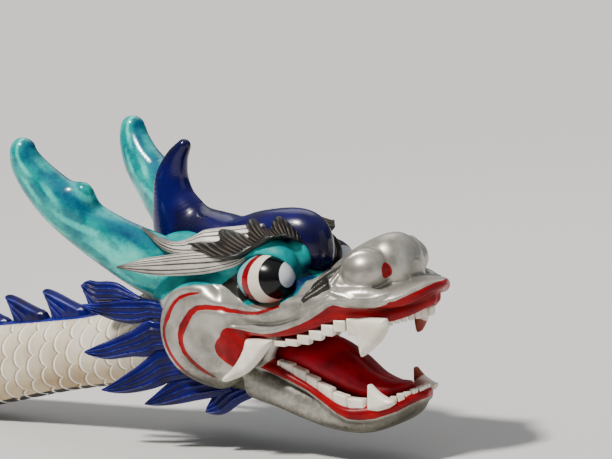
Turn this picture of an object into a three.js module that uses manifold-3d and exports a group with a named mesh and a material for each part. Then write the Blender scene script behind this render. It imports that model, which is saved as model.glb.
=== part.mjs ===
// Dragon boat figurehead: a carved and painted wooden dragon's head on its scaled neck.
//
// Millimetres. The origin is the middle of the neck's flat butt face, which is bolted to the bow.
// +X points forward along the neck, +Z is up, and -Y is the head's right side.

import * as THREE from 'three';
import { mergeVertices } from 'three/addons/utils/BufferGeometryUtils.js';
import Module from 'manifold-3d';

const wasm = await Module();
wasm.setup();

// Driving dimensions
const GLUE_LINE = 0.3;
const SEAT_LENGTH = 46;
const SKULL_BACK = 600;
const MOUTH_BACK = 850;
const LIP_TIP = 1217;
const EYE = { x: 901, y: 87, z: 234, radius: 43 };
const CHEEK = { x: 748, y: 112, z: 137, radius: 92, rim: 21, lean: 0.1 };
const NOSTRIL = { x: 1100, y: 60, z: 256, length: 45, width: 43, height: 40 };
const FIN_PITCH = 105.5;
const FIN_FIRST_TIP = 51;

// Colours, roughness and metalness of the painted woods
const PAINT = {
  silver: { color: 0xbcb8b2, roughness: 0.42, metalness: 0.35 },
  turquoise: { color: 0x1fa8a4, roughness: 0.3, metalness: 0.1 },
  crestBlue: { color: 0x1e1670, roughness: 0.22, metalness: 0.05 },
  maneBlue: { color: 0x1a3698, roughness: 0.35, metalness: 0.05 },
  browBlack: { color: 0x2f2a26, roughness: 0.4, metalness: 0.05 },
  red: { color: 0xc00a10, roughness: 0.3, metalness: 0 },
  ivory: { color: 0xf0ebdc, roughness: 0.35, metalness: 0 },
  neckWhite: { color: 0xebe1d2, roughness: 0.5, metalness: 0 },
  wood: { color: 0xa8754a, roughness: 0.65, metalness: 0 },
};

// Neck: x, centre height, half width, half height
const SEAT_SECTIONS = [
  [0, 0, 68, 86],
  [SEAT_LENGTH, 7, 68, 86],
];
const NECK_SECTIONS = [
  [SEAT_LENGTH + GLUE_LINE, 7, 68, 86],
  [110, 16, 68, 84],
  [200, 31, 66, 79],
  [300, 47, 65, 74],
  [380, 59, 66, 72],
  [470, 76, 70, 76],
  [540, 96, 78, 90],
  [SKULL_BACK - GLUE_LINE, 118, 86, 104],
];

// Skull block behind the mouth: x, centre height, half width, half height
const SKULL_SECTIONS = [
  [SKULL_BACK, 138, 84, 110],
  [630, 154, 100, 130],
  [680, 157, 112, 140],
  [750, 150, 116, 146],
  [800, 144, 115, 150],
  [MOUTH_BACK, 137, 112, 155],
];

// Upper jaw: the lip shelf and the nose bridge on it, both x, centre height, half width, half height
const SHELF_SECTIONS = [
  [MOUTH_BACK + GLUE_LINE, 190, 112, 42],
  [900, 186, 112, 36],
  [950, 190, 110, 34],
  [1000, 195, 110, 32],
  [1060, 203, 106, 30],
  [1110, 209, 94, 29],
  [1155, 213, 70, 27],
  [1188, 217, 42, 22],
  [1206, 222, 20, 14],
  [LIP_TIP, 227, 6, 4],
];
const BRIDGE_SECTIONS = [
  [MOUTH_BACK + GLUE_LINE, 214, 66, 74],
  [900, 212, 64, 70],
  [935, 198, 60, 54],
  [970, 194, 56, 41],
  [1005, 216, 53, 46],
  [1040, 236, 52, 48],
  [1080, 248, 54, 54],
  [1118, 248, 57, 62],
  [1150, 240, 50, 56],
  [1174, 230, 36, 42],
  [1188, 222, 20, 24],
];

// Lower jaw and the trough that holds the tongue: x, centre height, half width, half height
const JAW_SECTIONS = [
  [MOUTH_BACK + GLUE_LINE, 38, 112, 56],
  [890, 24, 112, 54],
  [950, 4, 107, 50],
  [1005, -8, 97, 41],
  [1060, -11, 82, 33],
  [1105, -2, 60, 28],
  [1135, 10, 36, 21],
  [1148, 18, 17, 13],
  [1153, 22, 6, 5],
];
const TROUGH_SECTIONS = [
  [820, 96, 78, 60],
  [900, 84, 78, 56],
  [980, 52, 70, 48],
  [1040, 36, 58, 40],
  [1090, 34, 40, 30],
  [1118, 38, 20, 16],
];
const TONGUE_SECTIONS = [
  [MOUTH_BACK + GLUE_LINE, 78, 58, 34],
  [905, 84, 56, 34],
  [955, 80, 52, 34],
  [1005, 58, 46, 32],
  [1050, 34, 38, 20],
  [1090, 28, 28, 14],
  [1118, 34, 16, 9],
  [1127, 38, 6, 4],
];

// Forehead crest along x: centre height, half width, half height
const FOREHEAD_SECTIONS = [
  [640, 292, 36, 38],
  [690, 298, 46, 44],
  [735, 296, 49, 40],
  [773, 292, 48, 39],
  [820, 296, 50, 46],
  [880, 296, 50, 53],
  [920, 289, 46, 58],
  [948, 284, 37, 52],
  [966, 280, 23, 38],
  [974, 278, 10, 20],
];

// Curved pieces of the right side and the middle: x, y, z, half height across, half thickness
const CREST_HORN = [
  [655, 0, 262, 70, 40],
  [632, 0, 312, 66, 40],
  [616, 0, 356, 46, 34],
  [610, 0, 398, 33, 27],
  [624, 0, 436, 21, 19],
  [648, 0, 464, 13, 12],
  [663, 0, 476, 4, 4],
];
const HORN = [
  [660, -70, 232, 64, 34],
  [607, -92, 262, 60, 38],
  [560, -116, 297, 53, 38],
  [512, -134, 334, 49, 37],
  [468, -148, 374, 46, 34],
  [430, -156, 412, 37, 29],
  [407, -161, 447, 30, 25],
  [397, -164, 476, 22, 19],
  [402, -164, 493, 12, 11],
  [405, -164, 501, 4, 4],
];
const HORN_KNOB = [
  [508, -142, 366, 34, 26],
  [524, -150, 392, 25, 21],
  [536, -154, 407, 14, 12],
  [541, -155, 412, 5, 5],
];
const LOCK_UPPER = [
  [611, -84, 325, 5, 5],
  [640, -94, 315, 14, 11],
  [680, -102, 302, 22, 14],
  [725, -104, 290, 25, 15],
  [775, -100, 276, 20, 13],
  [815, -96, 266, 9, 8],
];
const LOCK_LOWER = [
  [566, -134, 249, 4, 4],
  [600, -134, 252, 12, 10],
  [650, -128, 256, 18, 15],
  [720, -120, 258, 20, 16],
  [785, -112, 256, 16, 13],
  [832, -102, 256, 7, 7],
];
const LIP_ROLL = [
  [838, -104, 176, 12, 10],
  [880, -118, 184, 20, 15],
  [930, -122, 187, 22, 16],
  [985, -119, 196, 19, 15],
  [1045, -110, 207, 18, 15],
  [1105, -94, 213, 17, 14],
  [1155, -68, 217, 15, 13],
  [1187, -38, 222, 11, 9],
  [1203, -14, 226, 6, 5],
];
const UPPER_GUM = [
  [826, -104, 140, 8, 6],
  [862, -116, 150, 11, 9],
  [920, -119, 152, 13, 10],
  [980, -116, 162, 15, 10],
  [1045, -107, 176, 17, 10],
  [1105, -90, 184, 17, 10],
  [1150, -64, 188, 13, 9],
  [1180, -34, 195, 9, 8],
  [1191, -9, 200, 5, 5],
];
const LOWER_GUM = [
  [850, -110, 92, 7, 6],
  [890, -113, 72, 11, 9],
  [950, -107, 45, 12, 9],
  [1010, -96, 24, 12, 9],
  [1065, -80, 12, 12, 9],
  [1108, -60, 14, 11, 9],
  [1138, -34, 24, 8, 7],
  [1150, -10, 31, 5, 5],
];
const REAR_TUSK = [
  [892, -116, 138, 30, 11],
  [880, -128, 112, 25, 12],
  [857, -133, 84, 18, 11],
  [829, -134, 64, 11, 8],
  [803, -132, 52, 3, 3],
];
const UPPER_FANG = [
  [1099, -89, 180, 40, 11],
  [1101, -92, 160, 37, 12],
  [1099, -92, 138, 24, 10],
  [1094, -91, 119, 11, 7],
  [1091, -90, 107, 3, 3],
];
const LOWER_FANG = [
  [1098, -68, 2, 22, 10],
  [1096, -70, 18, 20, 10],
  [1089, -70, 36, 12, 8],
  [1082, -69, 51, 3, 3],
];

// Mane fins round the back of the cheek: root x, y, z, then tip x, y, z, root half height
const MANE_FINS = [
  { root: [640, -92, 204], tip: [474, -112, 217], half: 32 },
  { root: [650, -98, 163], tip: [467, -118, 177], half: 30 },
  { root: [650, -102, 118], tip: [468, -124, 86], half: 36 },
  { root: [664, -94, 62], tip: [502, -122, 15], half: 34 },
  { root: [706, -80, 48], tip: [596, -112, -8], half: 29 },
  { root: [786, -66, 40], tip: [726, -92, -24], half: 34 },
];

// Small teeth in a row: place along the gum from 0 to 1, half length, half thickness, height
const UPPER_TEETH = [
  { at: 0.30, half: 11.5, thick: 6, tall: 21 },
  { at: 0.37, half: 11.5, thick: 6, tall: 23 },
  { at: 0.44, half: 11.5, thick: 6, tall: 24 },
  { at: 0.51, half: 11.5, thick: 6, tall: 25 },
  { at: 0.58, half: 11.5, thick: 6, tall: 26 },
  { at: 0.65, half: 11.5, thick: 6, tall: 26 },
];
const LOWER_TEETH = [
  { at: 0.26, half: 12, thick: 6, tall: 25 },
  { at: 0.34, half: 12, thick: 6, tall: 25 },
  { at: 0.42, half: 12, thick: 6, tall: 26 },
  { at: 0.50, half: 12, thick: 6, tall: 27 },
  { at: 0.58, half: 12, thick: 6, tall: 27 },
  { at: 0.66, half: 11, thick: 6, tall: 24 },
];
const FRONT_TEETH = { count: 5, pitch: 21, half: 9, thick: 6, tall: 21 };

// Brow outline seen from the side, as x and z from the brow's rear tip, and its thickness
const BROW_OUTLINE = [
  [0, -5],
  [3, 2],
  [32, 5],
  [62, 4],
  [66, 20],
  [75, 24],
  [104, 18],
  [120, 14],
  [122, 34],
  [137, 42],
  [152, 32],
  [172, 26],
  [186, 39],
  [194, 39],
  [214, 26],
  [227, 11],
  [234, 0],
  [228, -6],
  [210, 4],
  [188, 9],
  [165, 5],
  [142, -6],
  [115, -22],
  [85, -30],
  [57, -28],
  [32, -20],
  [16, -8],
];
const BROW = { x: 728, y: 96, z: 294, thickness: 30, turn: 0.23 };

// Mouth corner patch, as x and z
const CORNER_OUTLINE = [
  [862, 158],
  [836, 166],
  [812, 152],
  [792, 146],
  [784, 116],
  [800, 100],
  [808, 76],
  [830, 88],
  [846, 96],
  [866, 100],
  [880, 120],
];
const CORNER = { y: 110, thickness: 20 };

// Dorsal fin outline from its tip, as x and z, running down to the neck in front
const FIN_OUTLINE = [
  [0, 0],
  [34, -6],
  [70, -24],
  [104, -42],
  [104, -80],
  [10, -92],
  [14, -52],
  [8, -22],
];
const FIN_THICKNESS = 18;

function closedGeometry(positions, triangles) {
  const geometry = new THREE.BufferGeometry();
  geometry.setAttribute('position', new THREE.Float32BufferAttribute(positions, 3));
  geometry.setIndex(triangles);
  return geometry;
}

// Skins a list of rings with equal counts and closes both ends with a fan.
function skinRings(rings) {
  const sides = rings[0].length;
  const positions = rings.flat().flatMap((p) => [p.x, p.y, p.z]);
  const triangles = [];
  for (let r = 0; r < rings.length - 1; r += 1) {
    for (let s = 0; s < sides; s += 1) {
      const a = r * sides + s;
      const b = r * sides + ((s + 1) % sides);
      triangles.push(a, b, a + sides, b, b + sides, a + sides);
    }
  }
  for (const [ring, base, flip] of [
    [rings[0], 0, true],
    [rings.at(-1), (rings.length - 1) * sides, false],
  ]) {
    const centre = ring.reduce((sum, p) => sum.add(p), new THREE.Vector3()).divideScalar(sides);
    const hub = positions.length / 3;
    positions.push(centre.x, centre.y, centre.z);
    for (let s = 0; s < sides; s += 1) {
      const a = base + s;
      const b = base + ((s + 1) % sides);
      triangles.push(...(flip ? [hub, b, a] : [hub, a, b]));
    }
  }
  return closedGeometry(positions, triangles);
}

function superOval(angle, power) {
  const c = Math.cos(angle);
  const s = Math.sin(angle);
  return [
    Math.sign(c) * Math.abs(c) ** (2 / power),
    Math.sign(s) * Math.abs(s) ** (2 / power),
  ];
}

// Body whose sections stand across X.
function loftAlongX(sections, { sides = 18, power = 2.2 } = {}) {
  const rings = sections.map(([x, z, halfWidth, halfHeight]) => {
    const ring = [];
    for (let s = 0; s < sides; s += 1) {
      const [u, v] = superOval((s / sides) * Math.PI * 2, power);
      ring.push(new THREE.Vector3(x, halfWidth * u, z + halfHeight * v));
    }
    return ring;
  });
  return skinRings(rings);
}

// Tapering curved body: its section is turned to the path, with its thin way nearest to Y.
function sweep(rows, { sides = 9, steps = 2 } = {}) {
  const path = new THREE.CatmullRomCurve3(rows.map(([x, y, z]) => new THREE.Vector3(x, y, z)));
  const count = (rows.length - 1) * steps;
  const rings = [];
  for (let i = 0; i <= count; i += 1) {
    const t = i / count;
    const row = Math.min(Math.floor(t * (rows.length - 1)), rows.length - 2);
    const part = t * (rows.length - 1) - row;
    const across = THREE.MathUtils.lerp(rows[row][3], rows[row + 1][3], part);
    const thick = THREE.MathUtils.lerp(rows[row][4], rows[row + 1][4], part);
    const centre = path.getPoint(t);
    const along = path.getTangent(t);
    const u = new THREE.Vector3().crossVectors(along, new THREE.Vector3(0, 1, 0)).normalize();
    const v = new THREE.Vector3().crossVectors(along, u).normalize();
    const ring = [];
    for (let s = 0; s < sides; s += 1) {
      const [a, b] = superOval((s / sides) * Math.PI * 2, 2);
      ring.push(centre.clone().addScaledVector(u, a * across).addScaledVector(v, b * thick));
    }
    rings.push(ring);
  }
  return skinRings(rings);
}

// Flat carved piece: an outline in X and Z, thick along Y, with its edges bevelled or square.
function carvedPlate(outline, thickness, bevel = 4) {
  const shape = new THREE.Shape(outline.map(([x, z]) => new THREE.Vector2(x, z)));
  const geometry = new THREE.ExtrudeGeometry(shape, {
    depth: thickness - 2 * bevel,
    bevelEnabled: bevel > 0,
    bevelThickness: bevel,
    bevelSize: bevel,
    bevelOffset: -bevel,
    bevelSegments: 1,
  });
  geometry.rotateX(Math.PI / 2);
  geometry.translate(0, thickness / 2 - bevel, 0);
  return geometry;
}

function ellipsoid(x, y, z, rx, ry, rz, segments = 14) {
  const geometry = new THREE.SphereGeometry(1, segments, Math.round(segments * 0.6));
  geometry.scale(rx, ry, rz);
  geometry.translate(x, y, z);
  return geometry;
}

function solidOf(geometry) {
  const bare = geometry.clone();
  bare.deleteAttribute('normal');
  bare.deleteAttribute('uv');
  const merged = mergeVertices(bare, 1e-3);
  return new wasm.Manifold(new wasm.Mesh({
    numProp: 3,
    vertProperties: new Float32Array(merged.attributes.position.array),
    triVerts: new Uint32Array(merged.index.array),
  }));
}

function geometryOf(solid) {
  const mesh = solid.getMesh();
  return closedGeometry(Array.from(mesh.vertProperties), Array.from(mesh.triVerts));
}

// The same closed form with every vertex moved out along its normal.
function grown(geometry, distance) {
  const bare = geometry.clone();
  bare.deleteAttribute('normal');
  bare.deleteAttribute('uv');
  const merged = mergeVertices(bare, 1e-3);
  merged.computeVertexNormals();
  const { position, normal } = merged.attributes;
  for (let i = 0; i < position.count; i += 1) {
    position.setXYZ(
      i,
      position.getX(i) + normal.getX(i) * distance,
      position.getY(i) + normal.getY(i) * distance,
      position.getZ(i) + normal.getZ(i) * distance,
    );
  }
  return merged;
}

function largestBody(solid) {
  const bodies = solid.decompose();
  return bodies.reduce((best, body) => (body.volume() > best.volume() ? body : best));
}

function union(geometries) {
  return geometries.map(solidOf).reduce((sum, solid) => sum.add(solid));
}

// A piece is the union of its forms less its hollows; its tool is the same, one glue line larger.
function carve(forms, hollows) {
  let solid = union(forms);
  let tool = union(forms.map((form) => grown(form, GLUE_LINE)));
  for (const hollow of hollows) {
    solid = solid.subtract(solidOf(hollow));
    tool = tool.subtract(solidOf(grown(hollow, -GLUE_LINE)));
  }
  return { solid, tool };
}

function buildCheek() {
  const { x, y, z, radius, rim, lean } = CHEEK;
  const profile = [[0, -rim], [radius * 0.8, -rim]];
  for (let i = 0; i <= 4; i += 1) {
    const angle = -Math.PI / 2 + (i / 4) * Math.PI;
    profile.push([radius - rim + Math.cos(angle) * rim, Math.sin(angle) * rim]);
  }
  profile.push([radius - 1.8 * rim, rim * 0.55], [radius * 0.4, rim * 0.7], [0, rim * 0.6]);
  const shape = profile.map(([r, depth]) => new THREE.Vector2(Math.max(r, 0), depth));
  const geometry = new THREE.LatheGeometry(shape, 20);
  geometry.rotateX(Math.PI);
  geometry.rotateZ(-lean);
  geometry.translate(x, -y, z);
  return [geometry];
}

function buildManeFin({ root, tip, half }) {
  const [from, to] = [new THREE.Vector3(...root), new THREE.Vector3(...tip)];
  const lift = new THREE.Vector3(0, -8, -6);
  const shares = [0, 0.3, 0.6, 0.85, 1];
  const widths = [1, 1, 0.72, 0.34, 0.1];
  const rows = shares.map((share, i) => {
    const p = from.clone().lerp(to, share).addScaledVector(lift, Math.sin(share * Math.PI));
    return [p.x, p.y, p.z, half * widths[i], 4 + 9 * widths[i]];
  });
  return [sweep(rows, { sides: 8, steps: 1 })];
}

// Red gum strip with its row of small teeth; direction is -1 for teeth that hang down.
function buildToothRow(gum, teeth, direction) {
  const path = new THREE.CatmullRomCurve3(gum.map(([x, y, z]) => new THREE.Vector3(x, y, z)));
  const first = path.getPoint(teeth[0].at);
  const last = path.getPoint(teeth.at(-1).at);
  const heading = Math.atan2(last.y - first.y, last.x - first.x);
  const forms = [sweep(gum, { sides: 6, steps: 1 })];
  for (const { at, half, thick, tall } of teeth) {
    const foot = path.getPoint(at);
    const tooth = new THREE.CylinderGeometry(0.7, 1.3, tall, 4, 1, false, Math.PI / 4);
    tooth.scale(half, 1, thick);
    tooth.rotateX(direction * (Math.PI / 2));
    tooth.rotateZ(heading);
    tooth.translate(foot.x, foot.y, foot.z + direction * (tall / 2));
    forms.push(tooth);
  }
  return forms;
}

// Front teeth between the two fangs, across the mouth.
function buildFrontTeeth({ x, z, bow, direction }) {
  const { count, pitch, half, thick, tall } = FRONT_TEETH;
  const reach = ((count - 1) / 2) * pitch;
  const place = (y) => x - bow * (y / reach) ** 2;
  const strip = [-1, -0.5, 0, 0.5, 1].map((share) => {
    const y = share * (reach + half * 0.6);
    return new THREE.Vector3(place(y), y, z + direction * 3);
  });
  const rings = strip.map((p) => {
    const ring = [];
    for (let s = 0; s < 6; s += 1) {
      const angle = (s / 6) * Math.PI * 2;
      ring.push(new THREE.Vector3(p.x + 5 * Math.cos(-angle), p.y, p.z + 6 * Math.sin(-angle)));
    }
    return ring;
  });
  const forms = [skinRings(rings)];
  for (let i = 0; i < count; i += 1) {
    const y = -reach + i * pitch;
    const tooth = new THREE.CylinderGeometry(0.7, 1.3, tall, 4, 1, false, Math.PI / 4);
    tooth.scale(thick, 1, half);
    tooth.rotateX(direction * (Math.PI / 2));
    tooth.translate(place(y), y, z + direction * (tall / 2));
    forms.push(tooth);
  }
  return forms;
}

function buildBrow() {
  const plate = carvedPlate(BROW_OUTLINE, BROW.thickness, 0);
  plate.rotateZ(BROW.turn);
  plate.translate(BROW.x, -BROW.y, BROW.z);
  return [plate];
}

function buildMouthCorner() {
  const plate = carvedPlate(CORNER_OUTLINE, CORNER.thickness, 4);
  plate.translate(0, -CORNER.y, 0);
  return [plate];
}

function buildDorsalFin(index) {
  const tipX = FIN_FIRST_TIP + index * FIN_PITCH;
  const tipZ = 141 + (tipX - FIN_FIRST_TIP) * 0.152;
  const plate = carvedPlate(FIN_OUTLINE, FIN_THICKNESS, 4);
  plate.translate(tipX, 0, tipZ);
  return [plate];
}

function buildSocket() {
  const { x, y, z, radius } = EYE;
  return [
    ellipsoid(x + 5, -y + 35, z + 9, radius * 1.8, radius * 0.95, radius * 1.58, 14),
    ellipsoid(x - 86, -y + 3, z + 3, radius * 1.6, radius * 0.8, radius * 0.66, 12),
  ];
}

// The right side's pieces, each before the ones that are cut to fit it
function sidePieces() {
  const eye = ellipsoid(EYE.x, -EYE.y, EYE.z, EYE.radius, EYE.radius, EYE.radius);
  const nostril = ellipsoid(
    NOSTRIL.x, -NOSTRIL.y, NOSTRIL.z, NOSTRIL.length, NOSTRIL.width, NOSTRIL.height,
  );
  return [
    ['eye', 'ivory', [eye]],
    ['rear_tusk', 'ivory', [sweep(REAR_TUSK)]],
    ['upper_fang', 'ivory', [sweep(UPPER_FANG)]],
    ['lower_fang', 'ivory', [sweep(LOWER_FANG)]],
    ['brow', 'browBlack', buildBrow()],
    ['horn', 'turquoise', [sweep(HORN, { sides: 12 }), sweep(HORN_KNOB)]],
    ['hair_lock_upper', 'silver', [sweep(LOCK_UPPER, { sides: 8, steps: 1 })]],
    ['hair_lock_lower', 'silver', [sweep(LOCK_LOWER, { sides: 8, steps: 1 })]],
    ['nostril', 'silver', [nostril]],
    ['mouth_corner', 'red', buildMouthCorner()],
    ['cheek', 'silver', buildCheek()],
    ['upper_lip', 'silver', [sweep(LIP_ROLL, { sides: 8, steps: 1 })]],
    ['upper_tooth_row', 'red', buildToothRow(UPPER_GUM, UPPER_TEETH, -1)],
    ['lower_tooth_row', 'red', buildToothRow(LOWER_GUM, LOWER_TEETH, 1)],
    ['eye_socket', 'turquoise', buildSocket()],
    ...MANE_FINS.map((fin, i) => [`mane_fin_${i + 1}`, 'maneBlue', buildManeFin(fin)]),
  ];
}

// The blocks and middle pieces that the side pieces are carved to fit
function middlePieces() {
  const jawShell = [loftAlongX(JAW_SECTIONS)];
  const trough = [loftAlongX(TROUGH_SECTIONS)];
  const crest = [loftAlongX(FOREHEAD_SECTIONS), sweep(CREST_HORN, { sides: 12 })];
  const upperFront = buildFrontTeeth({ x: 1176, z: 190, bow: 26, direction: -1 });
  const lowerFront = buildFrontTeeth({ x: 1138, z: 20, bow: 22, direction: 1 });
  return [
    ['seat_block', 'wood', [loftAlongX(SEAT_SECTIONS, { sides: 20 })]],
    ['neck', 'neckWhite', [loftAlongX(NECK_SECTIONS, { sides: 20 })]],
    ['skull', 'silver', [loftAlongX(SKULL_SECTIONS)]],
    ['upper_jaw', 'silver', [loftAlongX(SHELF_SECTIONS), loftAlongX(BRIDGE_SECTIONS)]],
    ['lower_jaw', 'silver', jawShell, trough],
    ['tongue', 'red', [loftAlongX(TONGUE_SECTIONS, { sides: 14 })]],
    ['crest', 'crestBlue', crest],
    ['upper_front_teeth', 'ivory', upperFront],
    ['lower_front_teeth', 'ivory', lowerFront],
    ...[0, 1, 2, 3].map((i) => [`dorsal_fin_${i + 1}`, 'maneBlue', buildDorsalFin(i)]),
  ];
}

function orderedPieces() {
  const middle = middlePieces().map(([name, paint, forms, hollows = []]) => (
    { name, paint, ...carve(forms, hollows) }
  ));
  const sides = sidePieces().flatMap(([name, paint, forms]) => {
    const { solid, tool } = carve(forms, []);
    return [
      { name: `${name}_right`, paint, solid, tool },
      { name: `${name}_left`, paint, solid: solid.mirror([0, 1, 0]), tool: tool.mirror([0, 1, 0]) },
    ];
  });
  return [...middle, ...sides];
}

function apart(a, b) {
  const [one, two] = [a.boundingBox(), b.boundingBox()];
  return [0, 1, 2].some((k) => one.min[k] > two.max[k] || two.min[k] > one.max[k]);
}

// Each piece is cut back to the ones before it, with a glue line between them.
function fitTogether(pieces) {
  return pieces.map(({ name, paint, solid }, index) => {
    let cut = solid;
    for (const { tool } of pieces.slice(0, index)) {
      cut = apart(cut, tool) ? cut : cut.subtract(tool);
    }
    return { name, paint, solid: largestBody(solidOf(geometryOf(largestBody(cut)))) };
  });
}

const figurehead = new THREE.Group();
figurehead.name = 'dragon_boat_figurehead';
for (const { name, paint, solid } of fitTogether(orderedPieces())) {
  const geometry = geometryOf(solid);
  geometry.computeVertexNormals();
  const mesh = new THREE.Mesh(geometry, new THREE.MeshStandardMaterial(PAINT[paint]));
  mesh.name = name;
  figurehead.add(mesh);
}

export default figurehead;
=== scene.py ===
"""Dragon boat figurehead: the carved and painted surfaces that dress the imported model.

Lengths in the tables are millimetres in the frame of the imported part: +X runs from the
fastening face to the lip, +Z is up, and the seen flank is on the -Y side.
"""

from __future__ import annotations

import logging
import math
from dataclasses import dataclass, field
from enum import Enum
from functools import cache
from typing import Iterable, Sequence

import bpy
import numpy as np
from mathutils import Matrix, Vector


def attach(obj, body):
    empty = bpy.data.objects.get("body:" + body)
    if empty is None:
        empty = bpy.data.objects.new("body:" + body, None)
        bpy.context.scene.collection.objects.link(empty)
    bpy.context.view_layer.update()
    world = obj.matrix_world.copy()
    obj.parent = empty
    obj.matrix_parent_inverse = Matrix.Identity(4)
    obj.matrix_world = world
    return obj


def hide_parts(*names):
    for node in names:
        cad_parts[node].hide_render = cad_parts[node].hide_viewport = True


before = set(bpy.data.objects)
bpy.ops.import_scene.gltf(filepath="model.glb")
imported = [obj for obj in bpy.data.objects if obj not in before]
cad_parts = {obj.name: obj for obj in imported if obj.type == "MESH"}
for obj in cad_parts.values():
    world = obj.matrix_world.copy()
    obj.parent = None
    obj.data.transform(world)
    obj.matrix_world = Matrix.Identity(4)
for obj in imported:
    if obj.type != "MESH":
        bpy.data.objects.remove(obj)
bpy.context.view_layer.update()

LOG = logging.getLogger("figurehead")
MM = 0.001
Rows = Sequence[Sequence[float]]
Array = np.ndarray
Box = tuple[Array, Array]
CORNERS = [(a, b, c) for a in (0, 1) for b in (0, 1) for c in (0, 1)]
FULL_TURN = 2 * math.pi
UNWORN = 20.0  # distance to bare wood at a tooth that has none
EMPTY = 60.0  # distance that a grid without clay starts with
ADD_MARGIN, CUT_MARGIN = 30, 20  # how far round a form the clay changes
SMOOTHING = 0.6  # how far a round of smoothing draws a point to its neighbours
AIR_REACHES = (6.0, 12.0, 22.0)  # how far out the air over a point is looked for
LACQUER_ROUGHNESS = 0.12

# The camera that the photograph was taken with: its axes and place in metres, and its pixels.
VIEW_RIGHT = Vector((0.793353, 0.602837, -0.084723))
VIEW_UP = Vector((-0.024991, 0.171308, 0.984901))
VIEW_BACK = Vector((0.608248, -0.779257, 0.150973))
VIEW_PLACE = (3.428896, -3.210922, 0.932247)
FOCAL_PIXELS, PHOTO_WIDTH, SENSOR_MM = 2300.0, 612.0, 36.0


class Side(Enum):
    """The two flanks of the head, with the sign that takes the seen flank to each."""

    RIGHT = 1
    LEFT = -1

    @property
    def word(self) -> str:
        """Return the ending of the names on this flank."""
        return self.name.lower()


# Curves and distances


def spline(rows: Rows, steps: int) -> Array:
    """Run a smooth curve through the rows of a table.

    Args:
        rows: positions with any number of columns.
        steps: points for each interval.

    Returns:
        The points of the curve, one row each.
    """
    p = np.asarray(rows, float)
    if len(p) < 3:
        return p
    ends = np.vstack([2 * p[0] - p[1], p, 2 * p[-1] - p[-2]])
    out = []
    for a, b, c, d in zip(ends[:-3], ends[1:-2], ends[2:-1], ends[3:]):
        for t in np.arange(steps) / steps:
            out.append(0.5 * (2 * b + (c - a) * t + (2 * a - 5 * b + 4 * c - d) * t**2
                              + (3 * b - a - 3 * c + d) * t**3))
    return np.array([*out, p[-1]])


def run_length(line: Array) -> Array:
    """Return how far from its start each point of a line lies."""
    return np.concatenate([[0], np.cumsum(np.linalg.norm(np.diff(line, axis=0), axis=1))])


def on_line(line: Array, run: Array) -> Array:
    """Return the places at given distances from the start of a line."""
    return np.stack([np.interp(run, run_length(line), column) for column in line.T], 1)


def smooth_min(a: Array, b: Array, blend: float) -> Array:
    """Return the smaller of two distances, rounded over about the blend length."""
    h = np.clip(0.5 + 0.5 * (a - b) / blend, 0, 1)
    return a + (b - a) * h - blend * h * (1 - h)


def stroke_distance(x: Array, z: Array, rows: Rows) -> Array:
    """Return the distance to a line or a painted stroke in the flank view.

    Args:
        x: places along the head.
        z: heights.
        rows: points of the line, x and z, for a stroke with its half width too.

    Returns:
        The distance to the line, or to the edge of the stroke, negative inside it.
    """
    best = None
    for a, b in zip(rows[:-1], rows[1:]):
        dx, dz = b[0] - a[0], b[1] - a[1]
        t = np.clip(((x - a[0]) * dx + (z - a[1]) * dz) / (dx * dx + dz * dz + 1e-12), 0, 1)
        gap = np.hypot(x - a[0] - t * dx, z - a[1] - t * dz)
        if len(a) > 2:
            gap = gap - (a[2] + (b[2] - a[2]) * t)
        best = gap if best is None else np.minimum(best, gap)
    return best


def patch_distance(x: Array, z: Array, outline: Rows) -> Array:
    """Return the distance to the edge of a patch in the flank view, negative inside it."""
    ring = [*outline, outline[0]]
    inside = np.zeros(np.broadcast(x, z).shape, bool)
    for (ax, az), (bx, bz) in zip(ring[:-1], ring[1:]):
        inside ^= ((az > z) != (bz > z)) & (x < (bx - ax) * (z - az) / (bz - az + 1e-12) + ax)
    gap = stroke_distance(x, z, ring)
    return np.where(inside, -gap, gap)


def oval_distance(places: Sequence[Array], half: Sequence[float]) -> Array:
    """Return the distance to an oval about the origin, from its half sizes."""
    k0 = np.sqrt(sum((p / h) ** 2 for p, h in zip(places, half)))
    k1 = np.sqrt(sum((p / h**2) ** 2 for p, h in zip(places, half)))
    return np.where(k0 < 0.02, -min(half), k0 * (k0 - 1) / np.maximum(k1, 1e-6))


def squared_circle(count: int, power: float) -> tuple[Array, Array]:
    """Return the two coordinates of points round a circle, squarer for a smaller power."""
    around = np.linspace(0, FULL_TURN, count, endpoint=False)
    c, s = np.cos(around), np.sin(around)
    return np.sign(c) * np.abs(c) ** power, np.sign(s) * np.abs(s) ** power


# Forms that clay is made of. Each has a box, its lowest and highest corners, and gives the
# distance of places to its skin, negative inside.


@dataclass(frozen=True)
class Loft:
    """A form along X through oval sections: x, middle height, half width, half height."""

    rows: Rows
    power: float = 2.3

    def box(self) -> Box:
        """Return the lowest and highest corners."""
        x, middle, wide, high = np.asarray(self.rows, float).T
        return (np.array([x.min(), -wide.max(), (middle - high).min()]),
                np.array([x.max(), wide.max(), (middle + high).max()]))

    def distance(self, x: Array, y: Array, z: Array) -> Array:
        """Return the distance to the skin."""
        r = spline(self.rows, 6)
        middle, w, h = (np.interp(x, r[:, 0], r[:, k]) for k in (1, 2, 3))
        a, b = np.abs(y), np.abs(z - middle)
        q = np.maximum(((a / w) ** self.power + (b / h) ** self.power) ** (1 / self.power), 1e-3)
        skin = np.where(q < 0.02, -np.minimum(w, h), (q - 1) * (np.sqrt(a * a + b * b) + 1e-3) / q)
        return np.maximum(skin, np.maximum(r[0, 0] - x, x - r[-1, 0]))


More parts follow.
